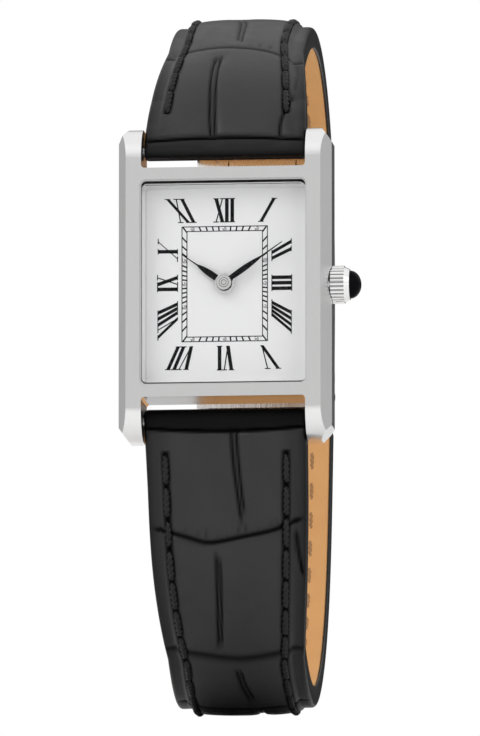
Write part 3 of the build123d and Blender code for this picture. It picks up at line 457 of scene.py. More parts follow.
def make_piece(name, points, faces, finish, body, smooth=True):
    mesh = mesh_of(name, points, faces)
    mesh.materials.append(finish)
    mesh.polygons.foreach_set("use_smooth", [smooth] * len(mesh.polygons))
    mesh.validate()
    return add_piece(name, mesh, body)


# %% [markdown]
# ## The printed numerals
# A dial is pad printed: each stroke is a thin, slightly raised film of ink. The Roman numerals stand
# with their feet towards the middle, so those at the sides lie on their sides and those below are
# upside down. Near the corners they lean along the line to the centre. Each numeral is drawn from
# strokes in a small frame of its own, where 0 is its foot and 1 its top, and then bent into place.

# %% Numerals
dial_face, ink = -4.05, 0.016
stroke_step, serif_step = 0.002, 0.004
letter_width = {"I": 0.56, "V": 1.0, "X": 1.0}
thick_stroke, thin_stroke, serif_half, serif_height = 0.35, 0.11, 0.27, 0.09
# word, side of the dial, then middle, width and distance from the centre, for its foot and its top
numerals = [
    ("XII", "top", (0.0, 2.0, 6.04), (0.0, 2.0, 8.42)),
    ("I", "top", (3.52, 0.56, 6.04), (4.84, 0.56, 8.38)),
    ("II", "right", (-2.70, 1.12, 4.56), (-3.74, 1.45, 6.54)),
    ("III", "right", (-0.02, 1.62, 4.56), (-0.02, 1.62, 6.58)),
    ("IIII", "right", (2.45, 1.55, 4.56), (3.84, 2.42, 6.54)),
    ("V", "bottom", (-3.62, 0.60, 6.09), (-4.72, 1.55, 8.42)),
    ("VI", "bottom", (-0.02, 1.62, 6.09), (-0.02, 1.62, 8.50)),
    ("VII", "bottom", (3.78, 2.0, 6.09), (4.72, 2.25, 8.40)),
    ("VIII", "left", (-2.70, 2.00, 4.56), (-3.95, 2.90, 6.56)),
    ("IX", "left", (0.05, 1.62, 4.56), (0.05, 1.62, 6.60)),
    ("X", "left", (2.85, 1.10, 4.56), (3.75, 1.50, 6.54)),
    ("XI", "top", (-3.58, 1.80, 6.04), (-4.82, 1.95, 8.42)),
]


def strokes_of(letter, start, width):
    """Strokes as (foot, top, breadth) and serifs as (place, height); places run along the word."""
    left, middle, right = start + 0.16 * width, start + width / 2, start + 0.84 * width
    if letter == "I":
        return [(middle, middle, thick_stroke)], [(middle, 0), (middle, 1)]
    if letter == "V":
        return [(middle, left, thick_stroke), (middle, right, thin_stroke)], [(left, 1), (right, 1)]
    crossed = [(right, left, thick_stroke), (left, right, thin_stroke)]
    return crossed, [(left, 0), (right, 0), (left, 1), (right, 1)]


def on_dial(side, along, out):
    """A place on the dial, along the reading direction and outwards from the centre."""
    return {"top": (along, out), "right": (out, -along), "bottom": (-along, -out), "left": (-out, along)}[side]


def stroke_corners(side, foot, top, half):
    """The four corners of a stroke that is as wide at its foot as at its top."""
    ends = ((foot, -half), (foot, half), (top, half), (top, -half))
    return [on_dial(side, middle + reach, out) for (middle, out), reach in ends]


def print_films(name, films, finish):
    """Prints raised films of ink, each given as four corners and a height, as one piece."""
    points, faces = [], []
    for corners, height in films:
        area = sum(a[0] * b[1] - b[0] * a[1] for a, b in zip(corners, corners[1:] + corners[:1]))
        corners = corners if area > 0 else corners[::-1]
        base = len(points)
        points += [(x, dial_face - rise, z) for rise in (0, height) for x, z in corners]
        faces += [tuple(base + 4 + k for k in range(4))] + grid_faces(2, 4, ring=True, start=base)
    make_piece(name, points, faces, finish, "case", smooth=False)
    print(name, "has", len(films), "films of ink")


films = []
for word, side, foot, top in numerals:
    total = sum(letter_width[letter] for letter in word)

    def bend(along, height):
        """Leans and widens the numeral from its foot to its top."""
        middle, width, out = (low + (high - low) * height for low, high in zip(foot, top))
        return middle + (along / total - 0.5) * width, out

    start = 0.0
    for letter in word:
        strokes, serifs = strokes_of(letter, start, letter_width[letter])
        for order, (low, high, breadth) in enumerate(strokes):
            corners = stroke_corners(side, bend(low, 0), bend(high, 1), breadth / 2)
            films.append((corners, ink + stroke_step * order))
        for along, height in serifs:
            middle, out = bend(along, height)
            inner = out + (serif_height if height == 0 else -serif_height)
            films.append((stroke_corners(side, (middle, out), (middle, inner), serif_half), ink + serif_step))
        start += letter_width[letter]
print_films("dial_numerals", films, finishes["print_black"])

# %% [markdown]
# ## The minute track
# A rectangular track runs round the middle of the dial: two fine lines, sixty slanted marks between
# them that all point at the centre, and a small silver bead at each hour. The marks repeat by a rule,
# so Geometry Nodes place them: each point of a row gets its angle from its index, and the distance to
# a rectangle in that direction is the smaller of the two sides divided by sine and cosine.


# %% A tree that sets marks round a rectangle
def end_tree(tree, result, finish, points, **placing):
    """Ends a tree: a copy on each point, the copies made real, and one finish on them."""
    copies = put(tree, "GeometryNodeInstanceOnPoints", {"Points": points, **placing})
    real = put(tree, "GeometryNodeRealizeInstances", {0: copies})
    feed(tree, result, {0: put(tree, "GeometryNodeSetMaterial", {"Geometry": real, "Material": finish})})


def shape_in(tree, given):
    """The geometry of an object that is given to the tree."""
    return put(tree, "GeometryNodeObjectInfo", {"Object": given, "As Instance": True}, "Geometry")


def track_tree():
    """Marks that point at the centre between two rectangles; Stretch 1 fits their length to the gap."""
    tree, given, result = start_tree(
        "marks_round_a_rectangle", "GeometryNodeTree",
        [("Mark", "Object"), ("Ink", "Material"), ("Count", "Int", 60), ("Depth", "Float", 0.0)]
        + [(f"{ring} Half {way}", "Float", 0.0) for ring in ("Inner", "Outer") for way in ("Width", "Height")]
        + [("Stretch", "Float", 1.0)],
        [("Geometry", "Geometry")],
    )

    def compute(operation, *values):
        return calc(tree, operation, *values)

    turn = compute("DIVIDE", put(tree, "GeometryNodeInputIndex"), given["Count"])
    turn = compute("MULTIPLY", turn, 2 * pi)
    sine, cosine = compute("SINE", turn), compute("COSINE", turn)
    wide, high = (compute("MAXIMUM", compute("ABSOLUTE", part), 1e-4) for part in (sine, cosine))
    near, far = (
        compute(
            "MINIMUM",
            compute("DIVIDE", given[f"{ring} Half Width"], wide),
            compute("DIVIDE", given[f"{ring} Half Height"], high),
        )
        for ring in ("Inner", "Outer")
    )
    middle = compute("MULTIPLY", compute("ADD", near, far), 0.5)
    stretched = compute("MULTIPLY", compute("SUBTRACT", far, near), given["Stretch"])
    length = compute("ADD", stretched, compute("SUBTRACT", 1.0, given["Stretch"]))
    spot = put(tree, "ShaderNodeCombineXYZ", {
        0: compute("MULTIPLY", sine, middle), 1: given["Depth"], 2: compute("MULTIPLY", cosine, middle),
    })
    row = put(tree, "GeometryNodeMeshLine", {"Count": given["Count"]})
    end_tree(
        tree, result, given["Ink"], put(tree, "GeometryNodeSetPosition", {"Geometry": row, "Position": spot}),
        Instance=shape_in(tree, given["Mark"]),
        Rotation=put(tree, "ShaderNodeCombineXYZ", {1: turn}),
        Scale=put(tree, "ShaderNodeCombineXYZ", {0: 1.0, 1: 1.0, 2: length}),
    )
    return tree


def grow(name, tree, body, slot, start_mesh=None, **values):
    """Runs a tree once on a mesh of its own, and keeps the plain mesh that comes out."""
    seed = show(name + "_seed", start_mesh or bpy.data.meshes.new(name + "_seed"))
    modifier = seed.modifiers.new("grow", "NODES")
    modifier.node_group = tree
    sockets = {item.name: item.identifier for item in tree.interface.items_tree if item.in_out == "INPUT"}
    for label, value in values.items():
        modifier[sockets[label.replace("_", " ")]] = value
    mesh = bpy.data.meshes.new_from_object(seed.evaluated_get(bpy.context.evaluated_depsgraph_get()))
    mesh.name = name
    bpy.data.objects.remove(seed)
    print(name, "has", len(mesh.polygons), "faces")
    return add_piece(name, mesh, body)


# %% Minute marks, hour beads and the two lines
inner_half, outer_half = (3.685, 5.19), (4.17, 5.64)
track_line, line_height, mark_half = 0.09, ink - 0.003, 0.07
track, track_depth = track_tree(), dial_face * MM
track_sizes = {
    "Inner_Half_Width": inner_half[0] * MM, "Inner_Half_Height": inner_half[1] * MM,
    "Outer_Half_Width": outer_half[0] * MM, "Outer_Half_Height": outer_half[1] * MM,
}
# the bar is a metre long, so that the tree's scale is its length
bar_points = [(x, y, z) for x in (-mark_half, mark_half) for y in (0, -ink) for z in (-0.5 / MM, 0.5 / MM)]
bar_faces = [(0, 1, 3, 2), (4, 6, 7, 5), (0, 4, 5, 1), (2, 3, 7, 6), (0, 2, 6, 4), (1, 5, 7, 3)]
bar = show("minute_bar", mesh_of("minute_bar", bar_points, bar_faces))
grow("minute_marks", track, "case", "dial_white", Mark=bar, Ink=finishes["print_black"], Count=60,
     Depth=track_depth, Stretch=1.0, **track_sizes)

bead_rings, bead_sides, bead_radius, bead_height = 5, 12, 0.21, 0.10
bead_points = [(0, -bead_height, 0)]
for ring in range(1, bead_rings + 1):
    angle = pi / 2 * ring / bead_rings
    for side in range(bead_sides):
        around, wide = 2 * pi * side / bead_sides, bead_radius * sin(angle)
        bead_points.append((wide * cos(around), -bead_height * cos(angle), wide * sin(around)))
bead_faces = [(0, 1 + k, 1 + (k + 1) % bead_sides) for k in range(bead_sides)]
bead_faces += [(a, d, c, b) for a, b, c, d in grid_faces(bead_rings, bead_sides, ring=True, start=1)]
bead = show("hour_bead_shape", mesh_of("hour_bead_shape", bead_points, bead_faces))
bead_steel = metal("bead_steel", (0.50, 0.50, 0.50), (0.38, 0.38, 0.38), 0.08, 0.16, (5000, 5000, 5000), 0.04)
grow("hour_beads", track, "case", "polished_steel", Mark=bead, Ink=bead_steel, Count=12,
     Depth=track_depth, Stretch=0.0, **track_sizes)
for shape in (bar, bead):
    bpy.data.objects.remove(shape)

films, t = [], track_line / 2
for w, h in (inner_half, outer_half):
    for x0, x1, z0, z1 in (
        (-w - t, w + t, h - t, h + t), (-w - t, w + t, -h - t, -h + t),
        (-w - t, -w + t, -h, h), (w - t, w + t, -h, h),
    ):
        films.append(([(x0, z0), (x1, z0), (x1, z1), (x0, z1)], line_height))
print_films("track_lines", films, finishes["print_grey"])

# %% [markdown]
# ## The line of the strap
# Seen from the side, the strap runs from one spring bar round a loop to the clasp. The measured model
# draws it as a smooth curve through a few places, given as shares of the loop's depth and height, and
# the same places are used here, so that the leather lies where the measured solid does.

# %% The strap's sizes
front_depth, loop_depth = -6.2, 46.8
bar_place = {"upper": (-3.15, 13.3), "lower": (-3.15, -13.3)}
roll_radius, strap_lean = 1.2, radians(20)
full_half, end_half = 7.9, 6.7
taper_start, taper_end = 2.0, 12.5
padded_thick, plain_thick, swell_share = 3.3, 2.2, 0.11
# for each half: its side, the height of its loop, and the shares of depth and height that it runs through
halves = {
    "upper": (1, 29.8, [
        (0.077, 0.602), (0.235, 0.834), (0.513, 1.0), (0.769, 0.920), (0.949, 0.623), (0.996, 0.277),
        (0.976, -0.145),
    ]),
    "lower": (-1, 39.4, [
        (0.060, 0.470), (0.111, 0.705), (0.267, 0.919), (0.524, 1.0), (0.758, 0.856), (0.880, 0.627),
        (0.938, 0.366), (0.968, 0.160),
    ]),
}
print("the strap narrows from", 2 * full_half, "to", 2 * end_half, "mm")


# %% The strap's line
def end_slope(times, places, at):
    """The slope that a cubic through four places has at one of them."""
    slope = np.zeros(2)
    for i in range(4):
        others = [j for j in range(4) if j != i]
        for j in others:
            factor = np.prod([(at - times[k]) / (times[i] - times[k]) for k in others if k != j])
            slope += places[i] * factor / (times[i] - times[j])
    return slope


def run_along(places):
    """How far each place lies along the line through them."""
    return np.concatenate([[0], np.cumsum(np.hypot(*np.diff(places, axis=0).T))])


def smooth_line(places):
    """Many close points on the smooth curve through these places."""
    times = run_along(places)
    count, gaps = len(places), np.diff(times)
    rows, right = np.eye(count), np.zeros((count, 2))
    right[0] = end_slope(times[:4], places[:4], times[0])
    right[-1] = end_slope(times[-4:], places[-4:], times[-1])
    for i in range(1, count - 1):
        rows[i, i - 1:i + 2] = gaps[i], 2 * (gaps[i - 1] + gaps[i]), gaps[i - 1]
        before = gaps[i] * (places[i] - places[i - 1]) / gaps[i - 1]
        after = gaps[i - 1] * (places[i + 1] - places[i]) / gaps[i]
        right[i] = 3 * (before + after)
    slopes = np.linalg.solve(rows, right)
    at = np.linspace(0, times[-1], 3001)
    k = np.clip(np.searchsorted(times, at, side="right") - 1, 0, count - 2)
    u, wide = ((at - times[k]) / gaps[k])[:, None], gaps[k][:, None]
    return (
        (2 * u**3 - 3 * u**2 + 1) * places[k] + (u**3 - 2 * u**2 + u) * wide * slopes[k]
        + (3 * u**2 - 2 * u**3) * places[k + 1] + (u**3 - u**2) * wide * slopes[k + 1]
    )


class StrapLine:
    """One half's line: places, directions, width and thickness at any distance from its spring bar."""

    def __init__(self, name):
        self.name, self.bar = name, np.array(bar_place[name])
        self.side, height, shares = halves[name]
        start = self.bar + roll_radius * np.array([-cos(strap_lean), self.side * sin(strap_lean)])
        places = [(front_depth + a * loop_depth, self.side * b * height) for a, b in shares]
        self.line = smooth_line(np.array([start] + places))
        self.run = run_along(self.line)
        self.length = self.run[-1]
        self.slopes = np.gradient(self.line, self.run, axis=0)

    def at(self, s):
        """Place and direction inwards, in the side view, at distances s."""
        place, along = (
            np.stack([np.interp(s, self.run, values[:, k]) for k in (0, 1)], -1)
            for values in (self.line, self.slopes)
        )
        along /= np.linalg.norm(along, axis=-1, keepdims=True)
        return place, np.stack([self.side * along[..., 1], -self.side * along[..., 0]], -1)

    def half_width(self, s):
        depth = self.at(s)[0][..., 0]
        return np.interp(depth, (front_depth + taper_start, front_depth + taper_end), (full_half, end_half))

    def thickness(self, s):
        share = np.clip(np.asarray(s) / self.length, 0, 1)
        rise = np.clip(share / swell_share, 0, 1)
        swelling = 2 * roll_radius + (padded_thick - 2 * roll_radius) * rise * rise * (3 - 2 * rise)
        thinning = padded_thick + (plain_thick - padded_thick) * (share - swell_share) / (1 - swell_share)
        return np.where(share < swell_share, swelling, thinning)

    def spot(self, s, x, depth):
        """A place in space: along the strap, across it, and under its outer surface."""
        place, inwards = self.at(s)
        flat = place + inwards * np.asarray(depth)[..., None]
        return np.stack([x, flat[..., 0], flat[..., 1]], -1)

    def round_bar(self, x, radius, angle):
        """A place in space: across the strap, and round its spring bar."""
        parts = x, self.bar[0] + radius * np.cos(angle), self.bar[1] + radius * np.sin(angle)
        return np.stack(np.broadcast_arrays(*parts), -1)


lines = {name: StrapLine(name) for name in halves}
print("strap halves:", {name: round(line.length, 2) for name, line in lines.items()}, "mm along the outside")

# %% [markdown]
# ## The scales of the leather
# The leather is embossed with large square scales, as crocodile is. Between them run creases: some
# cross the strap in a soft arch, others run along it, often as a close pair of lines. The creases
# that the photograph shows are listed as places along and across the strap, and fine folds
# run off the two that cross it in front. Behind, where nothing is seen, the same kind of pattern goes
# on by a seeded rule.

# %% The creases
# each crease: its depth, its half breadth, and places (mm along, mm across)
creases = {
    "upper": [
        (0.10, 0.14, [
            (14.6, -7.6), (14.4, -4.3), (14.7, -2.5), (14.9, -0.6), (14.5, 1.7), (13.8, 3.8), (13.0, 5.3),
            (13.4, 7.6),
        ]),
        (0.26, 0.13, [(12.7, -1.5), (10.1, -1.8), (6.4, -1.75), (2.9, -1.6), (0.5, -1.4)]),
        (0.24, 0.12, [(12.9, -1.0), (10.1, -1.25), (6.4, -1.2), (2.9, -1.1), (0.5, -1.0)]),
        (0.24, 0.13, [(27.0, -0.6), (24.0, -0.1), (20.5, 0.1), (16.6, 0.2)]),
        (0.22, 0.12, [(27.0, -0.1), (24.0, 0.4), (20.5, 0.55), (16.3, 0.6)]),
        (0.22, 0.16, [(6.9, 6.3), (4.7, 5.9), (3.1, 5.45), (1.6, 5.3), (0.3, 5.4)]),
        (0.08, 0.20, [(12.8, 6.2), (10.2, 6.6), (6.9, 6.3)]),
    ],
    "lower": [
        (0.28, 0.23, [
            (10.2, -7.7), (10.7, -5.3), (11.2, -3.5), (11.6, -2.1), (11.5, -0.6), (11.1, 1.4), (10.7, 3.5),
            (10.2, 5.3), (9.6, 6.7), (9.2, 7.7),
        ]),
        (0.28, 0.14, [(0.0, 0.55), (1.6, 0.6), (4.5, 0.8), (7.4, 1.15), (9.8, 1.45)]),
        (0.26, 0.13, [(0.0, 1.05), (1.6, 1.1), (4.5, 1.3), (7.2, 1.55), (8.8, 1.75)]),
        (0.24, 0.13, [(12.5, -1.15), (15.4, -1.15), (18.7, -1.25), (23.3, -1.45)]),
        (0.18, 0.12, [(12.9, -0.8), (15.4, -0.75), (18.7, -0.85), (23.0, -1.1)]),
        (0.18, 0.16, [(10.2, 6.6), (11.6, 6.7), (13.7, 6.9), (15.9, 7.3)]),
        (0.12, 0.45, [(24.3, -7.4), (24.0, -3.3), (24.6, 0.5), (24.1, 4.5), (24.4, 7.4)]),
        (0.24, 0.13, [(26.1, 0.0), (29.1, 0.3), (32.4, 0.9)]),
        (0.22, 0.12, [(26.1, 0.4), (29.1, 0.75), (32.0, 1.35)]),
    ],
}


fold_breadth, edge_left, tail_left = 0.13, 0.2, 6
pair_gap, pair_depth, pair_breadth = 0.45, 0.22, 0.125
side_depth, side_breadth = 0.14, 0.15


def wrinkles(path, way, count, seed):
    """Short fine folds that run off one side of a cross crease."""
    rule, line, folds = random.Random(seed), smooth_line(np.array(path)), []
    for k in range(count):
        s, x = line[int((0.08 + 0.84 * (k + rule.uniform(0, 0.7)) / count) * (len(line) - 1))]
        reach, lean = way * rule.uniform(0.6, 1.5), rule.uniform(-0.25, 0.25)
        fold = [(s + 0.15 * way, x), (s + reach / 2, x + lean / 2), (s + reach, x + lean)]
        folds.append((rule.uniform(0.05, 0.09), fold_breadth, fold))
    return folds


def carried_on(line, start, seed):
    """More scales behind, from the last crease seen to the end of the strap."""
    rule, made, s = random.Random(seed), [], start
    while s < line.length - tail_left:
        step = rule.uniform(8.5, 11.5)
        lean, bow = rule.uniform(-0.6, 0.6), rule.uniform(-0.5, 0.5)
        half = float(line.half_width(s)) - edge_left
        depth, half_breadth = rule.uniform(0.10, 0.24), rule.uniform(0.13, 0.2)
        made.append((depth, half_breadth, [
            (s + lean * x / half + bow * (1 - (x / half) ** 2) + rule.uniform(-0.12, 0.12), x)
            for x in np.linspace(-half, half, 8)
        ]))
        across = rule.uniform(-1.9, 1.9)
        drift = rule.uniform(-0.5, 0.5)
        for offset in (0.0, pair_gap):
            made.append((pair_depth, pair_breadth, [
                (s + 0.6 + (step - 1.1) * k / 4, across + offset + drift * k / 4 + rule.uniform(-0.05, 0.05))
                for k in range(5)
            ]))
        edge = rule.choice((-1, 1))
        side = [(s + 0.8 + 2.2 * k, edge * (half - 1.5 + 0.35 * k)) for k in range(3)]
        made.append((side_depth, side_breadth, side))
        s += step
    return made


creases["lower"] += wrinkles(creases["lower"][0][2], -1, 13, 3)
creases["upper"] += wrinkles(creases["upper"][0][2], 1, 12, 5)
creases["upper"] += carried_on(lines["upper"], 28.5, 7)
creases["lower"] += carried_on(lines["lower"], 34.0, 11)
print("creases:", {name: len(paths) for name, paths in creases.items()})


# %% How the creases sink the leather
# a crease is a narrow line at the bottom of a wide soft hollow, and fades towards its ends
line_wide, hollow_wide = 1.2, 5
line_deep, hollow_deep = 1.15, 0.45
end_share, end_reach, full_dark_depth = 0.25, 1.2, 0.15


def bell(value, middle, half, power=2):
    """1 at the middle, falling off over the half width."""
    return np.exp(-(((value - middle) / half) ** power))


def soft_step(value, low, high):
    """0 below low, 1 above high, and smooth between."""
    t = np.clip((value - low) / (high - low), 0, 1)
    return t * t * (3 - 2 * t)


def crease_relief(name, s, x):
    """How deep the creases sink the leather at these places, and how much painted shade darkens them, from 0
    to 1.
    """
    sunk, dark = np.zeros_like(s), np.zeros_like(s)
    for depth, half_breadth, path in creases[name]:
        path = np.array(path)
        if len(path) > 3:
            path = smooth_line(path)[::120]
        near = np.full_like(s, np.inf)
        for a, b in zip(path[:-1], path[1:]):
            reach = b - a
            t = np.clip(((s - a[0]) * reach[0] + (x - a[1]) * reach[1]) / (reach @ reach), 0, 1)
            near = np.minimum(near, np.hypot(s - a[0] - t * reach[0], x - a[1] - t * reach[1]))
        ends = np.minimum(*(np.hypot(s - end[0], x - end[1]) for end in (path[0], path[-1])))
        fade = np.clip(end_share + ends / end_reach, 0, 1)
        line, hollow = (bell(near, 0, wide * half_breadth) * fade for wide in (line_wide, hollow_wide))
        sunk = np.maximum(sunk, line_deep * depth * line + hollow_deep * depth * hollow)
        # painted shade: each crease darkens along its narrow line
        dark = np.maximum(dark, line * min(1, depth / full_dark_depth))
    return sunk, dark


# %% [markdown]
# ## The padded leather
# A padded strap is a sandwich: a felt core, a black leather skin turned over it, and a lining. The
# pad makes a long soft crown between the two rows of stitches, and beside them the skin lies flat on
# the lining. Each half is one closed skin: its outer face, a roll round the spring bar, a rim that is
# painted black, and a shallow bed for the lining behind. It is built as a fine grid, because the
# creases are modelled in its shape.

# %% The skin's outer face
stitch_from_edge, groove_depth, groove_half, groove_shade_half = 1.95, 0.20, 0.30, 0.44
edge_round, rim_round, rim, bed = 0.42, 0.20, 0.20, 0.14
flange, pad_slope, flange_thick = 1.2, 4.6, 2.15
first_stitch = {"upper": 3.9, "lower": 2.8}
pad_starts, pad_bow = {"upper": 0.85, "lower": 0.75}, 0.35
pad_groove_depth, pad_groove_half = 0.32, 0.22
swell_from, swell_to, groove_lead = 0.3, 3.0, 0.35
# painted shade towards the flat flange and the edge, and on the roll round the spring bar
flange_shade, edge_shade = 0.22, 0.30
roll_flat = {"upper": 0.42, "lower": 0.0}
roll_shade = {"upper": 0.5, "lower": 0.85}
tab_length, tab_half = 2.7, 5.8


def quarter_round(share):
    """Falls from 1 to 0 as a quarter of a circle."""
    return 1 - np.sqrt(np.clip(1 - (1 - np.clip(share, 0, 1)) ** 2, 0, 1))


def edge_drop(from_edge, radius):
    """How far a face falls at an edge that is rounded."""
    return radius - np.sqrt(np.maximum(radius**2 - np.clip(radius - from_edge, 0, radius) ** 2, 0))


def outer_face(line, s, x):
    """How deep the outer face lies under the measured line, and how much painted shade darkens it, from 0 to
    1.
    """
    from_edge = line.half_width(s) - np.abs(x)
    crown = quarter_round((from_edge - flange) / pad_slope)
    room = np.clip(line.thickness(s) - flange_thick, 0, 1.0) * soft_step(s, swell_from, swell_to)
    sewn = soft_step(s, first_stitch[line.name] - groove_lead, first_stitch[line.name] - 0.05)
    arch = pad_starts[line.name] - pad_bow * (x / line.half_width(s)) ** 2
    sunk, shade_mask = crease_relief(line.name, s, x)
    depth = (
        room * (0.75 * crown + 0.25 * crown**3)
        + edge_drop(from_edge, edge_round)
        + groove_depth * sewn * bell(from_edge, stitch_from_edge, groove_half)
        + pad_groove_depth * bell(s, arch, pad_groove_half) * soft_step(from_edge, 0.0, 0.6)
        + sunk * soft_step(from_edge, 0.0, 0.4)
    )
    # painted shade: darkest in the creases, the stitch grooves and the groove where the pad starts, dark on
    # the bar side of that groove, and a little darker towards the edges
    dark = np.maximum.reduce([
        shade_mask,
        sewn * bell(from_edge, stitch_from_edge, groove_shade_half, 4),
        roll_shade[line.name] * (1 - soft_step(s, arch - 0.3, arch)) + bell(s, arch, 0.2, 4),
        flange_shade * (1 - soft_step(from_edge, flange, 3.0))
        + edge_shade * (1 - soft_step(from_edge, 0.1, 1.0)),
    ])
    return depth, np.clip(dark, 0, 1)


# %% The closed skin
bore_radius, bore_sides = 0.64, 24
cap_reach, bed_start, nose_length = 1.0, 1.6, 0.7
edge_shares = (0.004, 0.014, 0.03, 0.045, 0.064, 0.068)
rows_along, rows_at_bar, columns_across, roll_rows = 430, 6, 80, 20
wave_depth, waves_round, flat_turn, flat_reach = 0.04, 7, 1.75, 0.75
squeeze_depth, squeeze_reach = 0.12, 0.3


def skin_faces(line, s, across):
    """Rows of points on the outer face and behind, with the masks of painted shade and of painted edges."""
    tab = line.length - tab_length
    half = np.where(s > tab + 0.01, tab_half, line.half_width(s))[:, None]
    grid_s, x = np.meshgrid(s, across, indexing="ij")
    x = x * half
    from_edge = half - np.abs(x)
    top, dark = outer_face(line, grid_s, x)
    thick = line.thickness(grid_s)
    in_bed = (from_edge > rim) & (grid_s > bed_start) & (grid_s < tab - 0.3)
    low = thick - edge_drop(from_edge, rim_round) - np.where(in_bed, bed, 0)
    nose = np.clip((grid_s - (line.length - nose_length)) / nose_length, 0, 1)
    pinch = (1 - np.sqrt(1 - nose**2 * 0.98)) * thick / 2
    painted = [1 - soft_step(from_edge, *fade) for fade in ((0.10, 0.34), (rim, rim + 0.1))]
    return line.spot(grid_s, x, top + pinch), line.spot(grid_s, x, low - pinch), dark, painted


def skin_roll(line, across, half):
    """Rows of points round the spring bar, a little flat in front and wavy as pulled leather is."""
    turns = np.linspace(0, pi, roll_rows + 2)[1:-1][:, None]
    waves = wave_depth * np.abs(np.sin(turns * waves_round))
    radius = roll_radius - roll_flat[line.name] * bell(turns, flat_turn, flat_reach) - waves
    from_edge = full_half - np.abs(across * full_half)
    squeeze = squeeze_depth * np.clip(squeeze_reach - from_edge, 0, squeeze_reach) / squeeze_reach
    return line.round_bar(across * half, radius - squeeze, line.side * (pi - strap_lean + turns))


def strap_skin(line):
    """The closed leather skin of one half, as points, faces, and two masks for each point."""
    tab = line.length - tab_length
    main, near_bar = np.linspace(line.length, cap_reach, rows_along), np.linspace(0.85, 0.0, rows_at_bar)
    s = np.unique(np.concatenate([main, near_bar, [tab, tab + 0.02]]))[::-1]
    near_edges = [sign * (1 - share) for sign in (-1, 1) for share in edge_shares]
    across = np.unique(np.concatenate([np.linspace(-1, 1, columns_across), near_edges]))
    bar_half = line.half_width(0.0)
    top, low, dark, (painted, low_painted) = skin_faces(line, s, across)
    roll = skin_roll(line, across, bar_half)
    rows = np.concatenate([top, roll, low[::-1]])
    count, columns = rows.shape[:2]
    faces = grid_faces(count, columns, loop=True)

    # each side wall: strips between outer face and lining, and a cap with the bore round the bar
    turns = np.linspace(0, 2 * pi, bore_sides, endpoint=False)
    bore = [line.round_bar(side * bar_half, bore_radius, turns) for side in (-1, 1)]
    points = np.concatenate([rows.reshape(-1, 3), *bore])
    bore_start = count * columns
    faces += grid_faces(2, bore_sides, ring=True, start=bore_start)
    strips = int(np.sum(s >= cap_reach)) - 1
    for column, ring in ((0, bore_start), (columns - 1, bore_start + bore_sides)):
        faces += wall_faces(count, columns, column, strips)
        outline = [i * columns + column for i in range(strips, count - strips)]
        hole = list(range(ring, ring + bore_sides))
        flat = [[Vector((points[i][1], points[i][2], 0)) for i in loop] for loop in (outline, hole)]
        order = outline + hole
        faces += [tuple(order[k] for k in triangle) for triangle in tessellate_polygon(flat)]

    # the roll round the bar carries painted shade in the first mask
    on_roll, on_bore = np.ones(roll.shape[:2]), np.zeros(2 * bore_sides)
    masks = (dark, roll_shade[line.name] * on_roll, 0 * dark), (painted, 0 * on_roll, low_painted[::-1])
    return points, faces, *(np.append(np.concatenate(mask), on_bore) for mask in masks)


# %% [markdown]
# ## Black leather, painted edge, lining and thread
# The embossed leather is a soft black with a low sheen. Its grain is a network of tiny cells. Painted shade
# makes it near-black with little reflection in the creases, and darker in the stitch grooves, near the bar and
# towards the edges. The rim is painted with a smooth edge lacquer. Both live in one finish, told apart by
# masks that the skin's points carry.
# The lining is tan calf, and the thread is a waxed cord, black outside and tan on the lining.

# %% The leather group
leather_grain, given, result = start_tree(
    "leather_grain", "ShaderNodeTree",
    [("Cell Size", "Float", 3200.0), ("Pores", "Float", 0.5), ("Mottle Size", "Float", 350.0)],
    [("Height", "Float"), ("Mottle", "Float")],
)
place = places_on(leather_grain)
cells = {"Vector": place, "Scale": given["Cell Size"]}
walls = put(leather_grain, "ShaderNodeTexVoronoi", cells, "Distance", feature="DISTANCE_TO_EDGE")
valleys = spread(leather_grain, walls, 0.0, 0.12, 0.0, 1.0, interpolation_type="SMOOTHSTEP")
fine = noise(leather_grain, place, calc(leather_grain, "MULTIPLY", given["Cell Size"], 2.7), 4.0)
feed(leather_grain, result, {
    "Height": calc(leather_grain, "ADD", calc(leather_grain, "MULTIPLY", valleys, given["Pores"]), fine),
    "Mottle": noise(leather_grain, place, given["Mottle Size"], 3.0),
})
pore_height = 0.00004


def grain_in(tree, cell, pores, mottle):
    """The grain group in a material's tree, with its own sizes."""
    sizes = {"Cell Size": cell, "Pores": pores, "Mottle Size": mottle}
    return put(tree, "ShaderNodeGroup", sizes, None, node_tree=leather_grain)


# %% The leathers and threads
# near-black painted shade for the creases; the edge lacquer is the rim's own colour
crease_shade_black, edge_lacquer = (0.0006, 0.0006, 0.0006), (0.003, 0.003, 0.003)
finishes["strap_leather"], tree, shader = new_finish(
    "strap_leather", Base_Color=(0.016, 0.016, 0.017), Roughness=0.42,
)
grain = grain_in(tree, 2600.0, 0.7, 320.0)
# the crease attribute holds all the leather's painted shade; painted_edge marks the lacquered rim
shade_mask, painted = (
    put(tree, "ShaderNodeAttribute", out="Fac", attribute_name=mask) for mask in ("crease", "painted_edge")
)
scale_tone = mix_tones(tree, grain["Mottle"], (0.016, 0.016, 0.0165), (0.027, 0.027, 0.0275))
gloss = spread_noise(tree, grain["Mottle"], 0.32, 0.44)
relief = {"Height": grain["Height"], "Strength": 0.22, "Distance": pore_height}
# painted shade: the mask darkens the creases, grooves, roll and edges, and takes most reflection out of the
# creases
feed(tree, shader, {
    "Base Color": mix_tones(tree, painted, mix_tones(tree, shade_mask, scale_tone, crease_shade_black), edge_lacquer),
    "Specular IOR Level": spread(tree, shade_mask, 0.0, 1.0, 0.32, 0.02),
    "Roughness": mix_values(tree, painted, gloss, 0.34),
    "Normal": put(tree, "ShaderNodeBump", relief),
})


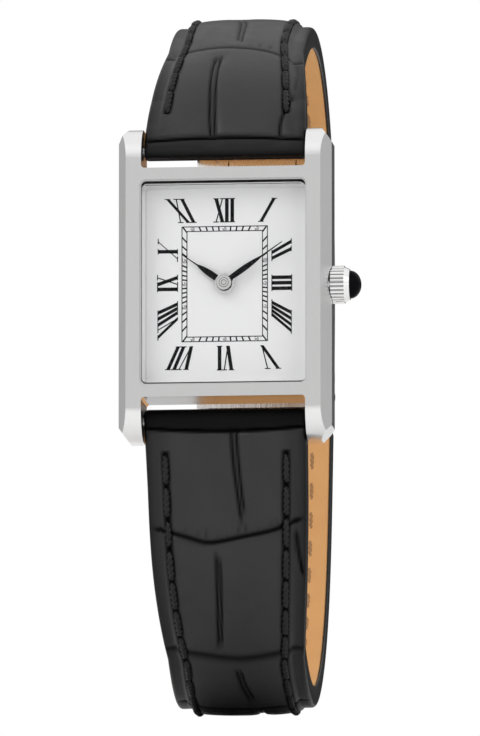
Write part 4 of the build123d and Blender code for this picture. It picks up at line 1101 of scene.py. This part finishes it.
def grained(name, light, dark, roughness, cell, strength, mottle=300.0, mirroring=0.5):
    """A plain leather or thread finish: two tones, grain relief and an even, low gloss."""
    material, tree, shader = new_finish(
        name, Base_Color=light, Roughness=roughness, Specular_IOR_Level=mirroring,
    )
    grain = grain_in(tree, cell, 0.4, mottle)
    gloss = spread_noise(tree, grain["Mottle"], roughness - 0.08, roughness + 0.08)
    two_toned(tree, shader, grain["Mottle"], (dark, light), gloss, grain["Height"], strength, pore_height)
    return material


finishes.update({row[0]: grained(*row) for row in (
    ("strap_lining", (0.70, 0.38, 0.14), (0.60, 0.30, 0.105), 0.64, 4200.0, 0.25),
    ("thread_black", (0.008, 0.008, 0.008), (0.003, 0.003, 0.003), 0.36, 9000.0, 0.4, 2500.0, 0.28),
    ("thread_tan", (0.40, 0.22, 0.09), (0.28, 0.14, 0.05), 0.60, 9000.0, 0.5, 2500.0),
)})
print("finishes in all:", len(finishes))

# %% The two leather skins
for name, line in lines.items():
    points, faces, *masks = strap_skin(line)
    body = f"{name}_strap"
    skin = make_piece(f"{name}_strap_skin", points, faces, finishes["strap_leather"], body)
    # the crease attribute carries all the painted shade of the leather
    for label, values in zip(("crease", "painted_edge"), masks):
        skin.data.attributes.new(label, "FLOAT", "POINT").data.foreach_set("value", values.astype(np.float32))
    open_edges = face_outwards(skin)
    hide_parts(f"{name}_strap_leather", f"{name}_strap_padding")
    print(name, "skin:", len(skin.data.polygons), "faces,", open_edges, "open edges")

# %% [markdown]
# ## The lining
# The lining is a thin strip of calf let into the bed of the skin, a little rounded at its edges. The
# stitches of the outer face come through it, so it has a shallow groove with stitches of its own.

# %% The two linings
lining_gap, lining_bury, lining_rows = 0.03, 0.04, 260
lining_drop, lining_drop_reach = 0.10, 0.3
lining_groove, lining_groove_half = 0.07, 0.35


def lining_strip(line):
    """A strip that fills the bed of the skin, from the roll to the tab."""
    s = np.linspace(bed_start + 0.15, line.length - tab_length - 0.45, lining_rows)
    across = np.sort(np.concatenate([np.linspace(-0.96, 0.96, 26), [-1, -0.985, 0.985, 1]]))
    half = (line.half_width(s) - rim - lining_gap)[:, None]
    grid_s, x = np.meshgrid(s, across, indexing="ij")
    x = x * half
    from_edge = half - np.abs(x)
    soft = lining_drop * quarter_round(from_edge / lining_drop_reach)
    groove = lining_groove * bell(from_edge + rim, stitch_from_edge, lining_groove_half)
    thick = line.thickness(grid_s)
    buried = line.spot(grid_s, x, thick - bed - lining_bury)
    rows = np.concatenate([buried, line.spot(grid_s, x, thick - soft - groove)[::-1]])
    count, columns = rows.shape[:2]
    faces = grid_faces(count, columns, loop=True)
    for column in (0, columns - 1):
        faces += wall_faces(count, columns, column, len(s) - 1)
    return rows.reshape(-1, 3), faces


for name, line in lines.items():
    points, faces = lining_strip(line)
    body = f"{name}_strap"
    strip = make_piece(f"{name}_strap_calf", points, faces, finishes["strap_lining"], body)
    open_edges = face_outwards(strip)
    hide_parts(f"{name}_strap_lining")
    print(name, "lining:", len(strip.data.polygons), "faces,", open_edges, "open edges")

# %% [markdown]
# ## The stitches
# Two plies of waxed cord are twisted together, so each stitch looks like a short piece of rope that
# rises from one hole and dives into the next. One stitch is modelled once, and a Geometry Nodes tree
# repeats it: it takes a row of points that carry the direction of sewing and the way out of the
# leather, turns a copy of the stitch to both, and makes the copies real.


# %% One stitch and the sewing tree
def stitch_shape(name, length, radius, rise, twists, rings=23, round_about=10):
    """A short piece of twisted cord along X that bows up along Z."""
    points = []
    for ring in range(rings):
        t = ring / (rings - 1) * 2 - 1
        taper = max(0.25, (1 - t**6)) ** 0.5
        height = rise * (1 - abs(t) ** 3.2) - 0.30 * abs(t) ** 6
        for k in range(round_about):
            angle = 2 * pi * k / round_about
            ply = radius * taper * (0.60 + 0.50 * abs(cos(angle - twists * pi * t)))
            points.append((t * length / 2, ply * cos(angle), height + ply * sin(angle)))
    last = (rings - 1) * round_about
    ends = [tuple(reversed(range(round_about))), tuple(range(last, last + round_about))]
    shape = show(name, mesh_of(name, points, grid_faces(rings, round_about, ring=True) + ends))
    face_outwards(shape)
    shape.data.polygons.foreach_set("use_smooth", [True] * len(shape.data.polygons))
    return shape


def sewing_tree():
    """A copy of the stitch on each point, turned along the seam and out of the leather."""
    tree, given, result = start_tree(
        "row_of_stitches", "GeometryNodeTree",
        [("Geometry", "Geometry"), ("Stitch", "Object"), ("Thread", "Material")], [("Geometry", "Geometry")],
    )
    along, out = (
        put(tree, "GeometryNodeInputNamedAttribute", {"Name": name}, "Attribute", data_type="FLOAT_VECTOR")
        for name in ("sewn_along", "way_out")
    )
    first = put(tree, "FunctionNodeAlignRotationToVector", {"Vector": along}, axis="X")
    turned = {"Rotation": first, "Vector": out}
    second = put(tree, "FunctionNodeAlignRotationToVector", turned, axis="Z", pivot_axis="X")
    stitch = shape_in(tree, given["Stitch"])
    end_tree(tree, result, given["Thread"], given["Geometry"], Instance=stitch, Rotation=second)
    return tree


# %% Sewing both halves
stitch_pitch, last_gap = 3.2, 1.2
outer_sink, inner_sink = 0.02, 0.16
outer_stitch = stitch_shape("outer_stitch", 3.05, 0.33, 0.16, 2.6)
inner_stitch = stitch_shape("inner_stitch", 2.2, 0.20, 0.02, 2.0)
sewing = sewing_tree()


def row_of_points(line, depth_at, way):
    """Stitch places on both sides of one half, with their directions, as a mesh of loose points."""
    start = first_stitch[line.name] + stitch_pitch / 2
    s = np.arange(start, line.length - tab_length - last_gap, stitch_pitch)
    places, along, outwards = [], [], []
    for side in (-1, 1):
        behind, here, ahead = (side * (line.half_width(s + d) - stitch_from_edge) for d in (-0.5, 0, 0.5))
        depth = depth_at(s, here)
        places.append(line.spot(s, here, depth))
        along.append(line.spot(s + 0.5, ahead, depth) - line.spot(s - 0.5, behind, depth))
        inwards = line.at(s)[1]
        outwards.append(way * np.stack([0 * s, -inwards[:, 0], -inwards[:, 1]], -1))
    mesh = mesh_of("stitch_places", np.concatenate(places), [])
    for label, rows in (("sewn_along", along), ("way_out", outwards)):
        values = np.concatenate(rows).astype(np.float32).ravel()
        mesh.attributes.new(label, "FLOAT_VECTOR", "POINT").data.foreach_set("vector", values)
    return mesh


for name, line in lines.items():
    body = f"{name}_strap"
    outside = row_of_points(line, lambda s, x: outer_face(line, s, x)[0] - outer_sink, 1)
    grow(f"{name}_strap_stitches", sewing, body, "strap_leather", outside,
         Stitch=outer_stitch, Thread=finishes["thread_black"])
    inside = row_of_points(line, lambda s, x: line.thickness(s) - inner_sink, -1)
    grow(f"{name}_strap_lining_stitches", sewing, body, "strap_lining", inside,
         Stitch=inner_stitch, Thread=finishes["thread_tan"])
for shape in (outer_stitch, inner_stitch):
    bpy.data.objects.remove(shape)

# %% [markdown]
# ## The studio
# The watch stands on a pale floor under soft light. To the camera, and through the glass, the room is
# white paper. Polished steel mirrors the same room with the cards that a studio sets up to draw the
# edges of steel: a dark one behind the watch and a grey one round it at its own height. Two curves of
# tone make them, one from front to back and one from low to high, and their product also gives the
# soft light that falls on the watch. The camera looks up from slightly below the floor line, so the
# floor is clear from its underside.

# %% The floor
floor_half, floor_gap = 4, 0.0004
floor_level = cad_box[0].z - floor_gap
floor = show("floor", bpy.data.meshes.new("floor"))
corners = [(x * floor_half, y * floor_half, floor_level) for x, y in ((-1, -1), (1, -1), (1, 1), (-1, 1))]
floor.data.from_pydata(corners, [], [(0, 1, 2, 3)])
floor_finish, tree, shader = new_finish("floor_paper", Base_Color=(0.90, 0.90, 0.90), Roughness=0.85)
from_below = put(tree, "ShaderNodeNewGeometry", out="Backfacing")
surface = mix_shaders(tree, from_below, shader.outputs[0], put(tree, "ShaderNodeBsdfTransparent"))
feed(tree, tree.nodes["Material Output"], {"Surface": surface})
floor.data.materials.append(floor_finish)
print("floor at", round(floor_level / MM, 2), "mm")

# %% The room
depth_tones = [(-1.0, 1.0), (0.30, 1.0), (0.66, 0.92), (0.79, 0.78), (0.87, 0.22), (0.93, 0.10)]
height_tones = [(-0.50, 0.82), (-0.05, 0.62), (0.14, 0.55), (0.26, 0.76), (0.50, 0.98)]
soft_light_share = 1.05
room = bpy.data.worlds.new("studio_room")
room.use_nodes = True
bpy.context.scene.world = room
tree = room.node_tree


def tone_curve(direction, stops):
    """A smooth curve through (direction, tone) stops, where a direction runs from -1 to 1."""
    curve = put(tree, "ShaderNodeValToRGB", {0: spread(tree, direction, -1.0, 1.0, 0.0, 1.0)})
    elements = curve.node.color_ramp.elements
    for stop, (where, tone) in zip((elements[0], elements[1]), (stops[0], stops[-1])):
        stop.position, stop.color = (where + 1) / 2, (tone, tone, tone, 1)
    for where, tone in stops[1:-1]:
        elements.new((where + 1) / 2).color = (tone, tone, tone, 1)
    return curve


direction = put(tree, "ShaderNodeSeparateXYZ", {0: put(tree, "ShaderNodeTexCoord", out="Generated")}, None)
depth_tone, height_tone = tone_curve(direction["Y"], depth_tones), tone_curve(direction["Z"], height_tones)
cards = calc(tree, "MULTIPLY", depth_tone, height_tone)
rays = put(tree, "ShaderNodeLightPath", out=None)
paper_or_cards = mix_values(tree, rays["Is Glossy Ray"], 1.0, cards)
seen = calc(tree, "MAXIMUM", rays["Is Glossy Ray"], rays["Is Transmission Ray"])
seen = calc(tree, "MAXIMUM", rays["Is Camera Ray"], seen)
soft_light = calc(tree, "MULTIPLY", cards, soft_light_share)
strength = mix_values(tree, seen, soft_light, paper_or_cards)
feed(tree, tree.nodes["Background"], {"Color": (1, 1, 1), "Strength": strength})


# %% The lamps
def softbox(name, place, width, power):
    """A square lamp that looks at the watch."""
    light = bpy.data.lights.new(name, "AREA")
    light.shape, light.size, light.energy = "SQUARE", width, power
    lamp = show(name, light)
    lamp.location = place
    lamp.rotation_euler = (-Vector(place)).to_track_quat("-Z", "Y").to_euler()


softbox("key_softbox", (-0.48, -0.58, 0.56), 0.45, 1.6)
softbox("fill_softbox", (0.55, -0.40, 0.10), 0.90, 1.0)
bpy.context.scene.view_settings.view_transform = "Standard"
print("two softboxes")
